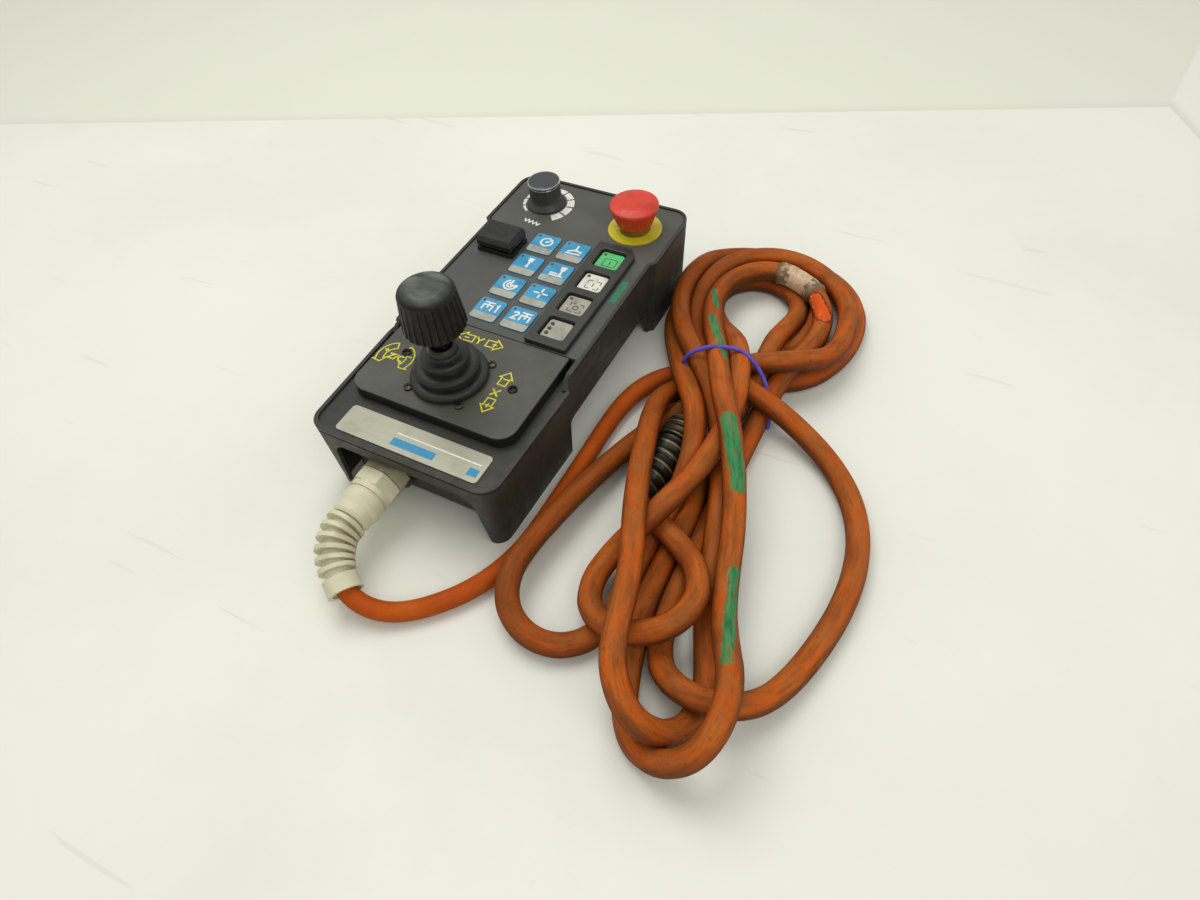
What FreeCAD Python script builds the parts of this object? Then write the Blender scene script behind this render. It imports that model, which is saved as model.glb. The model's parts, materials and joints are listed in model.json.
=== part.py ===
import FreeCAD, Part
import math
import os
import re

from FreeCAD import Placement, Rotation, Vector

# Hand controller of a measuring machine: a moulded console on four corner legs, with a joystick at the
# cable end and a keypad, a speed knob and a stop button at the far end. Millimetres, +Z up, +Y away from
# the cable. The origin is on the floor under the middle of the console.

SIZES = {
    # console, outside
    "body_length": 252, "end_width": 127, "waist_width": 121, "nose_width": 123, "corner_round": 12,
    "front_notch": 45, "rear_notch": 66, "draft_angle": 3, "waist_bottom": 22, "arch_top": 42,
    "arch_width": 92, "arch_spread": 4.5, "leg_round": 3, "wall_thick": 3.2, "deck_thick": 3.2,
    "deck_top": 57,
    "rim_tall": 1.6, "rim_wide": 2, "apron_drop": 6, "ramp_long": 7, "lip_tall": 1.5, "lip_groove": 1.2,
    # lower tray
    "tray_width": 100, "tray_front": 113, "tray_rear": 110, "tray_bottom": 8, "tray_top": 46,
    "tray_wall": 2.5, "post_x": 43.5, "post_front": 98, "post_rear": 78, "post_dia": 7,
    # keypad
    "film_thick": 0.8, "key_wide": 17.6, "key_deep": 18.6, "key_rise": 0.55, "key_cap": 0.95,
    "key_gap": 0.3, "key_pitch_x": 21.8, "key_pitch_y": 22.8, "key_first_x": -12.4, "key_first_y": 59,
    "stem_dia": 5, "stem_long": 4.6, "stem_hole": 6, "function_x": 35.7, "function_wide": 15.6,
    "function_rise": 1.1, "function_cap": 0.9, "indicator_rise": 1, "function_window": 17,
    "bezel_wide": 27.9, "bezel_long": 98.3,
    "bezel_y": 24.6, "bezel_tall": 3.4, "bezel_round": 0.8,
    # boards
    "board_thick": 1.6, "board_low": 47, "main_board_low": 19,
    # hold-to-run key
    "hold_x": -37.5, "hold_y": 48, "hold_wide": 26.5, "hold_deep": 20.5, "hold_frame": 3.2,
    "hold_cap": 5.4, "hold_gap": 1.6, "hold_window_x": 21, "hold_window_y": 15.4,
    # stop button
    "stop_x": 35.3, "stop_y": 96.7, "stop_ring_dia": 35.5, "stop_head_dia": 32, "stop_foot_dia": 23.4,
    "stop_collar_dia": 20.4, "stop_hole": 16.4, "stop_top": 79, "stop_ribs": 36,
    # speed knob
    "speed_x": -33.6, "speed_y": 99.6, "speed_skirt_dia": 26.6, "speed_grip_dia": 21.4, "speed_top": 76.2,
    "speed_ribs": 24, "bush_dia": 7, "speed_shaft_dia": 6,
    # joystick
    "stick_x": -2, "stick_y": -66, "pivot_height": 42, "plate_wide": 108, "plate_deep": 69.7,
    "plate_y": -60.5, "plate_tall": 7.2, "stick_screw": 17.2, "plate_screw": 36.4, "stick_dia": 9,
    "knob_low": 97, "knob_top": 124, "knob_low_dia": 35, "knob_top_dia": 30.5, "knob_flutes": 26,
    # label plate
    "label_wide": 93.7, "label_deep": 19, "label_x": 1.9, "label_y": -111.5,
    # cable gland and cable
    "gland_x": -16, "gland_height": 26, "gland_hex": 24, "gland_thread_dia": 22, "cable_dia": 11,
}

doc = FreeCAD.newDocument("HandController")
sheet = doc.addObject("Spreadsheet::Sheet", "Sizes")
for row, (alias, value) in enumerate(SIZES.items(), start=1):
    sheet.set(f"A{row}", alias)
    sheet.set(f"B{row}", str(value))
    sheet.setAlias(f"B{row}", alias)
doc.recompute()


def size(text):
    """Value of a sum of sheet sizes, for sketch points."""
    return sum(sign * float(sheet.get(word)) for sign, word in signed_words(text))


def signed_words(text):
    for sign, word in re.findall(r"([+-]?)\s*([a-z_]+)", text):
        yield (-1 if sign == "-" else 1), word


def formula(text):
    """A formula in plain size names becomes one that reads the sheet."""
    return re.sub(r"[a-z][a-z_]{2,}", lambda m: "Sizes." + m.group(0), str(text))


def bind(item, **formulas):
    for prop, text in formulas.items():
        item.setExpression(prop.replace("__", "."), formula(text))


def new_body(label):
    item = doc.addObject("PartDesign::Body", label)
    item.Label = label
    return item


def new_sketch(body, role, height):
    """A sketch on one of the body's own origin planes, moved along that plane's normal."""
    plane = next(f for f in body.Origin.OriginFeatures if f.Role == role)
    sketch = body.newObject("Sketcher::SketchObject", body.Label + "_sketch")
    sketch.AttachmentSupport = [(plane, "")]
    sketch.MapMode = "FlatFace"
    bind(sketch, AttachmentOffset__Base__z=height)
    return sketch


def draw(sketch, loop):
    """Closed outline of (x, y, radius) corners with tangent arcs, or one circle (x, y, radius)."""
    if isinstance(loop, tuple):
        x, y, radius = loop
        sketch.addGeometry(Part.Circle(Vector(x, y, 0), Vector(0, 0, 1), radius), False)
        return
    corners = [(Vector(c[0], c[1], 0), c[2] if len(c) > 2 else 0) for c in loop]
    starts, ends = [], []
    for i, (point, radius) in enumerate(corners):
        before = (corners[i - 1][0] - point).normalize()
        after = (corners[(i + 1) % len(corners)][0] - point).normalize()
        if radius == 0:
            starts.append(point)
            ends.append(point)
            continue
        half = before.getAngle(after) / 2
        reach = radius / math.tan(half)
        first, last = point + before * reach, point + after * reach
        inward = (before + after).normalize()
        middle = point + inward * (radius / math.sin(half) - radius)
        sketch.addGeometry(Part.Arc(first, middle, last), False)
        starts.append(first)
        ends.append(last)
    for i in range(len(corners)):
        line = Part.LineSegment(ends[i], starts[(i + 1) % len(corners)])
        sketch.addGeometry(line, False)


def rectangle(x, y, wide, deep, radius=0):
    a, b = wide / 2, deep / 2
    return [(x - a, y - b, radius), (x + a, y - b, radius), (x + a, y + b, radius), (x - a, y + b, radius)]


def add_pad(body, base, tall, loops, role="XY_Plane", taper=None, down=False):
    sketch = new_sketch(body, role, base)
    for loop in loops:
        draw(sketch, loop)
    pad = body.newObject("PartDesign::Pad", body.Label + "_pad")
    pad.Profile = sketch
    pad.Reversed = down
    bind(pad, Length=tall)
    if taper:
        bind(pad, TaperAngle=taper)
    doc.recompute()
    return pad


def add_pocket(body, top, deep, loops, role="XY_Plane", taper=None, midplane=False):
    sketch = new_sketch(body, role, top)
    for loop in loops:
        draw(sketch, loop)
    before = body.Shape.Volume
    pocket = body.newObject("PartDesign::Pocket", body.Label + "_pocket")
    pocket.Profile = sketch
    bind(pocket, Length=deep)
    if taper:
        bind(pocket, TaperAngle=taper)
    pocket.Midplane = midplane
    doc.recompute()
    if body.Shape.Volume > before - 0.5:
        raise ValueError(f"{body.Label}: a pocket at {top} cuts nothing")
    return pocket


def plate(label, base, tall, loops):
    """A flat piece: an outline with any holes in it, padded upwards."""
    body = new_body(label)
    add_pad(body, base, tall, loops)
    return body


def turned(label, x, y, profile):
    """A turned piece: a profile of (radius, height, corner radius) points about an upright axis at x, y."""
    body = new_body(label)
    sketch = new_sketch(body, "XZ_Plane", "0")
    draw(sketch, profile)
    revolution = body.newObject("PartDesign::Revolution", label + "_turn")
    revolution.Profile = sketch
    revolution.ReferenceAxis = (sketch, ["V_Axis"])
    revolution.Angle = 360
    bind(body, Placement__Base__x=x, Placement__Base__y=y)
    doc.recompute()
    return body


def hexagon(x, y, across):
    """Corners of a hexagon of a given width across its flats."""
    corner = across / math.sqrt(3)
    angles = [math.radians(60 * i) for i in range(6)]
    return [(x + corner * math.cos(a), y + corner * math.sin(a)) for a in angles]


def add_flutes(body, low, low_groove, high, high_groove, count):
    """Grooves round a turned piece: each tapers between two circles (distance from the axis, radius)."""
    first = new_sketch(body, "XY_Plane", low)
    draw(first, (low_groove[0], 0, low_groove[1]))
    last = new_sketch(body, "XY_Plane", high)
    draw(last, (high_groove[0], 0, high_groove[1]))
    loft = body.newObject("PartDesign::SubtractiveLoft", body.Label + "_flute")
    loft.Profile = first
    loft.Sections = [last]
    doc.recompute()
    pattern = body.newObject("PartDesign::PolarPattern", body.Label + "_flutes")
    pattern.Originals = [loft]
    pattern.Axis = (first, ["N_Axis"])
    pattern.Angle = 360
    bind(pattern, Occurrences=count)
    body.Tip = pattern
    doc.recompute()


def round_outer_rim(body, top, radius, outer):
    """Rounds the edges at one height for which outer says yes."""
    edges = [f"Edge{i}" for i, edge in enumerate(body.Shape.Edges, start=1)
             if all(abs(v.Z - top) < 1e-6 for v in edge.Vertexes) and outer(edge)]
    pad = body.Tip
    rounding = body.newObject("PartDesign::Fillet", body.Label + "_round")
    rounding.Base = (pad, edges)
    rounding.Radius = radius
    doc.recompute()


def cylinder(name, x, y, z, dia, tall):
    item = doc.addObject("Part::Cylinder", name)
    bind(item, Radius=f"({dia}) / 2", Height=tall)
    bind(item, Placement__Base__x=x, Placement__Base__y=y, Placement__Base__z=z)
    return item


def box(name, x, y, z, wide, deep, tall):
    item = doc.addObject("Part::Box", name)
    bind(item, Length=wide, Width=deep, Height=tall)
    bind(item, Placement__Base__x=f"({x}) - ({wide}) / 2", Placement__Base__y=f"({y}) - ({deep}) / 2")
    bind(item, Placement__Base__z=z)
    return item


def fuse(name, *shapes):
    item = doc.addObject("Part::MultiFuse", name)
    item.Shapes = list(shapes)
    return item


def cut(name, base, tool):
    item = doc.addObject("Part::Cut", name)
    item.Base = base
    item.Tool = tool
    return item


def group(label, items):
    """Identical pieces that share one node, each its own solid."""
    item = doc.addObject("Part::Compound", label)
    item.Label = label
    item.Links = items
    return item


def screw(name, x, y, seat, head_dia, head_tall, shank_dia, shank_long, up=True):
    """Pan-head screw: its head stands on the seat, and its shank goes the other way."""
    head_z = seat if up else f"({seat}) - ({head_tall})"
    shank_z = f"({seat}) - ({shank_long})" if up else seat
    head = cylinder(name + "_head", x, y, head_z, head_dia, head_tall)
    shank = cylinder(name + "_shank", x, y, shank_z, shank_dia, shank_long)
    return fuse(name, head, shank)


# Plan outlines of the console
half_length = size("body_length") / 2
end_half = size("end_width") / 2
nose_half = size("nose_width") / 2
waist_half = size("waist_width") / 2
step = end_half - waist_half
front_notch = -size("front_notch")
rear_notch = size("rear_notch")
round_plan = size("corner_round")


def console_plan(inset):
    """Both ends are wider than the waist, and the cable end narrows a little to its nose."""
    # the drafted nose is cut lower than the far end, so its plan starts a little further out
    lean = size("apron_drop") * math.tan(math.radians(size("draft_angle")))
    far, near = half_length - inset, inset - half_length - lean
    nose, end, waist = nose_half - inset, end_half - inset, waist_half - inset
    corner = max(round_plan - inset, 2)
    right = [(nose, near, corner), (end, front_notch), (waist, front_notch + step),
             (waist, rear_notch), (end, rear_notch + step), (end, far, corner)]
    left = [(-x, y, *rest) for x, y, *rest in reversed(right)]
    return right + left


rim = size("rim_wide")
key_columns = [size("key_first_x") + i * size("key_pitch_x") for i in range(2)]
key_rows = [size("key_first_y") - i * size("key_pitch_y") for i in range(4)]
key_places = [(x, y) for y in key_rows for x in key_columns]
function_places = [(size("function_x"), y) for y in key_rows[:3]]
indicator_place = (size("function_x"), key_rows[3])
hold = (size("hold_x"), size("hold_y"))
stop = (size("stop_x"), size("stop_y"))
speed = (size("speed_x"), size("speed_y"))
stick = (size("stick_x"), size("stick_y"))
stick_screws = [(stick[0] + i * size("stick_screw"), stick[1] + j * size("stick_screw"))
                for i in (-1, 1) for j in (-1, 1)]
plate_x = -0.3
plate_screws = [(plate_x + i * size("plate_screw"), size("plate_y")) for i in (-1, 1)]
post_places = [(i * size("post_x"), y) for i in (-1, 1) for y in (-size("post_front"), size("post_rear"))]
board_corners = [(x, y) for x in (-33, 33) for y in (-26, 81)]
PLATE_HOLE = 40
SCREW_HEAD = 6
SCREW_HEAD_TALL = 1.7
TRAY_PILOT = 1.7
PLATE_PILOT = 1.5
GLAND_BOSS = 6
STICK_OPENING = 45
APRON = "deck_top - apron_drop"


def add_lip(body):
    """A groove under the rim, all round: it sets the rim off as a lip, one step lower on the nose."""
    lean = math.tan(math.radians(size("draft_angle")))
    deep, beyond = 0.8, 10
    rear_inset = deep + lean * size("lip_tall")
    around = rectangle(0, 0, size("end_width") + beyond, size("body_length") + beyond)
    add_pocket(body, "deck_top + rim_tall - lip_tall", "lip_groove", [around, console_plan(rear_inset)])
    nose_inset = deep + lean * size("lip_tall + apron_drop")
    corners = [c for c in console_plan(nose_inset) if c[1] <= front_notch]
    left, right = corners[-2:], corners[:2]
    inner = left + right
    outer = [(nose_half + beyond, front_notch), (nose_half + beyond, -half_length - beyond),
             (-nose_half - beyond, -half_length - beyond), (-nose_half - beyond, front_notch)]
    add_pocket(body, "deck_top + rim_tall - apron_drop - lip_tall", "lip_groove", [inner + outer])


def build_console():
    """Moulded console: a drafted shell with a low nose, a rim, two notched ends and arched walls."""
    body = new_body("top_housing")
    add_pad(body, "deck_top + rim_tall", "deck_top + rim_tall", [console_plan(0)],
            taper="-draft_angle", down=True)
    ceiling = APRON + " - deck_thick"
    add_pocket(body, ceiling, ceiling, [console_plan(size("wall_thick"))], taper="-draft_angle")
    room_y, room_wide, room_deep = 48, 106, 140
    rear_room = rectangle(0, room_y, room_wide, room_deep, 6)
    add_pocket(body, "deck_top - deck_thick", "apron_drop", [rear_room])
    # the nose is one step lower than the keypad deck, rim and all
    nose_deep = 100
    nose = rectangle(0, front_notch - nose_deep / 2, size("end_width") + 13, nose_deep)
    add_pocket(body, "deck_top + rim_tall + 1", "apron_drop + 1", [nose])
    field = nose_half - rim - 0.5
    nose_field = [(-field, 3 - half_length, 9), (field, 3 - half_length, 9),
                  (end_half - rim - 0.5, front_notch + 1), (rim + 0.5 - end_half, front_notch + 1)]
    add_pocket(body, APRON + " + rim_tall", "rim_tall", [nose_field])
    step_rear = size("plate_y") + size("plate_deep") / 2 + 0.2
    # the recess is wider than the joystick plate, so that a dark gap shows along the plate's sides
    recess = waist_half - 2.9
    under_plate = [(-recess, front_notch - 1), (recess, front_notch - 1), (recess, step_rear),
                   (-recess, step_rear)]
    add_pocket(body, "deck_top + rim_tall", "apron_drop + rim_tall", [under_plate])
    deck_right = [(waist_half - rim, step_rear), (waist_half - rim, rear_notch + 1),
                  (end_half - rim, rear_notch + step + 1), (end_half - rim, half_length - rim, 9)]
    deck_field = deck_right + [(-x, y, *rest) for x, y, *rest in reversed(deck_right)]
    add_pocket(body, "deck_top + rim_tall", "rim_tall", [deck_field])
    # the shoulders beside the joystick plate slope down to the nose
    shoulder = size("deck_top + rim_tall")
    ramp = [(front_notch - 1, shoulder - size("apron_drop")), (front_notch, shoulder - size("apron_drop")),
            (front_notch + size("ramp_long"), shoulder), (front_notch + size("ramp_long"), shoulder + 1),
            (front_notch - 1, shoulder + 1)]
    add_pocket(body, "0", "end_width + 20", [ramp], role="YZ_Plane", midplane=True)
    add_lip(body)
    # hand clearance along both sides, between the front and rear legs
    low, high = -5, size("waist_bottom")
    side = [(front_notch - 1, low), (rear_notch + 1, low), (rear_notch - 3, high, 6),
            (front_notch + 4, high, 6)]
    add_pocket(body, "0", "end_width + 20", [side], role="YZ_Plane", midplane=True)
    # arches between the legs at the cable end and the far end
    half_arch, leg_round = size("arch_width") / 2, size("leg_round")
    foot = half_arch + size("arch_spread")
    beyond = foot + 2 * leg_round
    right = [(beyond, low), (beyond, 0), (foot, 0, leg_round), (half_arch, size("arch_top"), 10)]
    arch = right + [(-x, z, *rest) for x, z, *rest in reversed(right)]
    add_pocket(body, "0", "body_length + 20", [arch], role="XZ_Plane", midplane=True)
    # screw posts for the tray
    post = size("post_dia") / 2
    seat = "tray_bottom + tray_wall"
    for x, y in post_places:
        top = ceiling if y < front_notch else "deck_top - deck_thick"
        add_pad(body, seat, f"{top} - ({seat}) + 0.5", [(x, y, post)])
    pilot_deep = 12
    add_pocket(body, f"{seat} + {pilot_deep}", pilot_deep, [(x, y, TRAY_PILOT) for x, y in post_places])
    # openings for what comes through the deck
    stems = [(x, y, size("stem_hole") / 2) for x, y in key_places + function_places]
    window = rectangle(*hold, size("hold_window_x"), size("hold_window_y"), 1)
    round_holes = [(*stop, size("stop_hole") / 2), (*speed, size("bush_dia") / 2 + 0.1)]
    add_pocket(body, "deck_top", "deck_thick", stems + [window] + round_holes)
    opening = rectangle(*stick, STICK_OPENING, STICK_OPENING, 2)
    add_pocket(body, APRON, "deck_thick", [opening] + [(x, y, PLATE_PILOT) for x, y in plate_screws])
    return body


def build_tray():
    """Open tray under the deck, closed by the console above and carrying the cable gland."""
    body = new_body("bottom_tray")
    front, rear = -size("tray_front"), size("tray_rear")
    middle, deep, wide = (front + rear) / 2, rear - front, size("tray_width")
    thick = size("tray_wall")
    add_pad(body, "tray_bottom", "tray_top - tray_bottom", [rectangle(0, middle, wide, deep, 6)])
    inside = rectangle(0, middle, wide - 2 * thick, deep - 2 * thick, 4)
    add_pocket(body, "tray_top", "tray_top - tray_bottom - tray_wall", [inside])
    gland = (size("gland_x"), size("gland_height"))
    boss = 14.5
    add_pad(body, "tray_front - tray_wall", f"tray_wall + {GLAND_BOSS}", [(*gland, boss)], role="XZ_Plane")
    thread = size("gland_thread_dia") / 2
    add_pocket(body, "tray_front + 8", "20", [(*gland, thread)], role="XZ_Plane")
    post = 3
    for x, y in board_corners:
        add_pad(body, "tray_bottom + tray_wall", "main_board_low - tray_bottom - tray_wall", [(x, y, post)])
    add_pocket(body, "tray_bottom + tray_wall", "tray_wall", [(x, y, TRAY_PILOT) for x, y in post_places])
    sunk = [(x, y, SCREW_HEAD / 2) for x, y in post_places]
    add_pocket(body, f"tray_bottom + {SCREW_HEAD_TALL}", SCREW_HEAD_TALL, sunk)
    return body


def build_film():
    """Keypad film on the deck, with windows for the keys and whatever stands through it."""
    step_rear = size("plate_y") + size("plate_deep") / 2 + 0.4
    side, rear = waist_half - rim - 0.4, half_length - rim - 0.4
    right = [(side, step_rear), (side, rear_notch + 2), (side + step, rear_notch + step + 2),
             (side + step, rear, 8)]
    outer = right + [(-x, y, *rest) for x, y, *rest in reversed(right)]
    gap = 2 * size("key_gap")
    windows = [rectangle(x, y, size("key_wide") + gap, size("key_deep") + gap, 2.3) for x, y in key_places]
    windows += [rectangle(x, y, size("function_window"), size("function_window"), 1)
                for x, y in function_places + [indicator_place]]
    windows.append(rectangle(*hold, size("hold_window_x"), size("hold_window_y"), 1))
    nut_window = 6.6
    windows += [(*stop, size("stop_hole") / 2), (*speed, nut_window)]
    return plate("keypad_film", "deck_top", "film_thick", [outer] + windows)


def build_bezel():
    """Raised frame round the function keys, with its far right corner cut off."""
    a, b = size("bezel_wide") / 2, size("bezel_long") / 2
    x, y = size("function_x"), size("bezel_y")
    cut_wide, cut_deep = 5, 7
    outer = [(x - a, y - b, 1.5), (x + a, y - b, 1.5), (x + a, y + b - cut_deep, 1),
             (x + a - cut_wide, y + b, 1),
             (x - a, y + b, 1.5)]
    wide = size("function_window")
    windows = [rectangle(*place, wide, wide, 2) for place in function_places + [indicator_place]]
    body = plate("key_bezel", "deck_top + film_thick", "bezel_tall", [outer] + windows)
    top = size("deck_top + film_thick + bezel_tall")
    round_outer_rim(body, top, size("bezel_round"), lambda edge: abs(edge.CenterOfMass.x - x) > a - 6
                    or abs(edge.CenterOfMass.y - y) > b - 6)
    return body


def build_key(label, place, wide, deep, rise, cap):
    """Key cap on a round stem that reaches down to its switch."""
    body = new_body(label)
    add_pad(body, f"deck_top + {rise}", cap, [rectangle(*place, wide, deep, 2)])
    add_pad(body, f"deck_top + {rise}", "stem_long", [(*place, size("stem_dia") / 2)], down=True)
    return body


def build_keypad_board():
    """Switch board under the keypad, its standoffs, its screws and the switches on it."""
    corners = [(x, y) for x in (-17.5, 44.5) for y in (-17.5, 68.5)]
    outer = rectangle(14.5, 25.5, 70, 93, 2)
    board = plate("keypad_board", "board_low", "board_thick", [outer] + [(x, y, 1.35) for x, y in corners])
    top = "board_low + board_thick"
    standoffs = []
    for i, (x, y) in enumerate(corners):
        tube = cylinder(f"standoff_{i}", x, y, top, 5.4, "deck_top - deck_thick - board_low - board_thick")
        hole = cylinder(f"standoff_hole_{i}", x, y, top, 2.5, "6")
        standoffs.append(cut(f"standoff_tube_{i}", tube, hole))
    screws = [screw(f"board_screw_{i}", x, y, "board_low", 4.6, 1.7, 2.5, 5, up=False)
              for i, (x, y) in enumerate(corners)]
    switches = []
    for i, (x, y) in enumerate(key_places + function_places):
        case = box(f"switch_case_{i}", x, y, top, 6.5, 6.5, 2.4)
        plunger = cylinder(f"switch_plunger_{i}", x, y, top + " + 2.4", 3, 1.2)
        switches.append(fuse(f"switch_{i}", case, plunger))
    group("board_standoffs", standoffs)
    group("board_screws", screws)
    group("key_switches", switches)
    return board


def build_main_board():
    """Interface board on the tray's posts, with its connectors and chips."""
    plate("main_board", "main_board_low", "board_thick", [rectangle(0, 27.5, 76, 118, 2)])
    top = "main_board_low + board_thick"
    blocks = [(-18, -22, 20, 8, 9), (10, -22, 26, 8, 9), (0, 25, 24, 24, 2.5),
              (-26, 45, 12, 8, 4), (24, 60, 18, 10, 3)]
    chips = [box(f"chip_{i}", x, y, top, *sides) for i, (x, y, *sides) in enumerate(blocks)]
    group("board_components", chips)
    screws = [cylinder(f"main_screw_{i}", x, y, top, 5, 1.8) for i, (x, y) in enumerate(board_corners)]
    group("main_board_screws", screws)


def build_hold_key():
    """Hold-to-run key: a fixed frame on the film, a bevelled cap that sinks into it, and its switch."""
    wide, deep = size("hold_wide"), size("hold_deep")
    opening = rectangle(*hold, size("hold_window_x"), size("hold_window_y"), 1)
    plate("hold_frame", "deck_top + film_thick", "hold_frame", [rectangle(*hold, wide, deep, 1.2), opening])
    body = new_body("hold_key")
    low = "deck_top + film_thick + hold_frame + hold_gap"
    add_pad(body, low, "hold_cap", [rectangle(*hold, wide - 0.5, deep - 0.5, 1)])
    stem = rectangle(*hold, size("hold_window_x") - 0.6, size("hold_window_y") - 0.6, 1)
    stem_long = 12.6
    add_pad(body, low, stem_long, [stem], down=True)
    crown = size("deck_top + film_thick + hold_frame + hold_gap + hold_cap")
    right, front = hold[0] + wide / 2, hold[1] - deep / 2
    bevel = 2.6
    right_bevel = [(right - bevel, crown), (right + 1, crown + 1), (right + 1, crown - bevel - 1)]
    add_pocket(body, -hold[1], "40", [right_bevel], role="XZ_Plane", midplane=True)
    front_bevel = [(front + bevel, crown), (front - 1, crown + 1), (front - 1, crown - bevel - 1)]
    add_pocket(body, hold[0], "40", [front_bevel], role="YZ_Plane", midplane=True)
    bracket = new_body("hold_bracket")
    x, y = hold
    ceiling = size("deck_top - deck_thick")
    half, thick, low, strip = 10.5, 1.5, 41, 10
    profile = [(y - half, ceiling), (y - half, low, 2), (y + half, low, 2), (y + half, ceiling),
               (y + half - thick, ceiling), (y + half - thick, low + thick, 1),
               (y - half + thick, low + thick, 1), (y - half + thick, ceiling)]
    add_pad(bracket, x - strip / 2, strip, [profile], role="YZ_Plane")
    switch = new_body("hold_switch")
    case_tall, button_tall, button = 4.2, 1.6, 2.5
    add_pad(switch, low + thick, case_tall, [rectangle(*hold, 13, 9, 1)])
    add_pad(switch, low + thick + case_tall, button_tall, [(*hold, button)])


def build_stop_button():
    """Stop button: yellow ring, fixed collar with its nut and contact block, plunger and ribbed head."""
    x, y = "stop_x", "stop_y"
    ring, hole = size("stop_ring_dia") / 2, size("stop_hole") / 2
    plate("stop_ring", "deck_top + film_thick", "film_thick", [(*stop, ring), (*stop, hole)])
    seat, ceiling = size("deck_top + film_thick + film_thick"), size("deck_top - deck_thick")
    thread, plunger, pin = 8, 5, 3
    collar = size("stop_collar_dia") / 2
    collar_low, collar_top, play = 44, 64, 0.05
    turned("stop_collar", x, y,
           [(plunger + play, collar_low), (thread, collar_low), (thread, seat), (collar, seat),
                                 (collar, collar_top, 0.6), (plunger + play, collar_top)])
    nut_tall, nut_across = 3.2, 20.8
    plate("stop_nut", ceiling - nut_tall, nut_tall, [hexagon(*stop, nut_across), (*stop, thread)])
    block = box("stop_block_case", x, y, 26, 20, 18, 18)
    well = cylinder("stop_block_well", x, y, 36, 10.6, 9)
    case = cut("stop_contact_block", block, well)
    case.Label = "stop_contact_block"
    shoulder, pin_top = 68.6, 74
    turned("stop_plunger", x, y,
           [(0, 42), (plunger, 42), (plunger, shoulder), (pin, shoulder), (pin, pin_top),
                                  (0, pin_top)])
    # the head is a cone that widens upwards to a thin rim under a flat dome, ribbed along its side
    top, rim_wide, foot_wide = size("stop_top"), size("stop_head_dia") / 2, size("stop_foot_dia") / 2
    foot, rim_low, bore = collar_top - 0.2, top - 3.2, collar + 0.3
    bore_top, pin_bore = pin_top + 0.4, pin + play
    head = turned("stop_head", x, y, [
        (pin_bore, shoulder), (bore, shoulder), (bore, foot), (foot_wide, foot, 0.3),
        (rim_wide, rim_low, 0.8),
        (rim_wide - 0.3, top - 1.6, 0.8), (rim_wide - 6, top, 8), (0, top), (0, bore_top),
        (pin_bore, bore_top)])
    slope = (rim_wide - foot_wide) / (rim_low - foot)
    groove, groove_deep, run_out = 0.6, 0.4, rim_low - 1
    add_flutes(head, foot - 1, (foot_wide - slope + groove - groove_deep, groove),
               run_out, (foot_wide + slope * (run_out - foot) + groove, groove), "stop_ribs")


def build_speed_knob():
    """Speed setting: potentiometer under the deck, its nut, and a skirted knob with a cap on its shaft."""
    x, y = "speed_x", "speed_y"
    bore, bush = size("speed_shaft_dia") / 2, size("bush_dia") / 2
    ceiling = size("deck_top - deck_thick")
    play, pot, pot_low, floor, bush_top = 0.05, 7.5, 42, 46.5, 61
    turned("speed_pot", x, y,
           [(bore + play, floor), (0, floor), (0, pot_low), (pot, pot_low, 1), (pot, ceiling),
                               (bush, ceiling), (bush, bush_top), (bore + play, bush_top)])
    nut_across, nut_tall = 10.4, 2.2
    plate("speed_nut", "deck_top", nut_tall, [hexagon(*speed, nut_across), (*speed, bush)])
    shaft_low, shaft_top = floor + 0.5, 71
    turned("speed_shaft", x, y, [(0, shaft_low), (bore, shaft_low), (bore, shaft_top), (0, shaft_top)])
    # the knob flares to a thin skirt just over the film, and a shallow spigot under the cap closes it
    skirt, grip = size("speed_skirt_dia") / 2, size("speed_grip_dia") / 2
    skirt_low, skirt_high, flare, shoulder = 58.4, 59.2, 63, 73.6
    hollow, hollow_top, spigot = 7.5, 61.6, bore + 5.6
    knob = turned("speed_knob", x, y, [
        (bore, hollow_top), (hollow, hollow_top), (hollow, skirt_low), (skirt, skirt_low),
        (skirt, skirt_high, 0.3),
        (grip, flare, 2.2), (grip, shoulder, 0.3), (spigot, shoulder), (spigot, shaft_top),
        (bore, shaft_top)])
    groove = 0.75
    add_flutes(knob, flare + 1.2, (grip + 0.4, groove), shoulder + 0.4, (grip + 0.4, groove), "speed_ribs")
    top, edge = size("speed_top"), grip - 0.1
    turned("speed_cap", x, y, [(0, shaft_top), (spigot, shaft_top), (spigot, shoulder), (edge, shoulder),
                               (edge, top - 0.6, 0.4), (edge - 1.4, top, 0.8), (0, top)])


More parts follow.
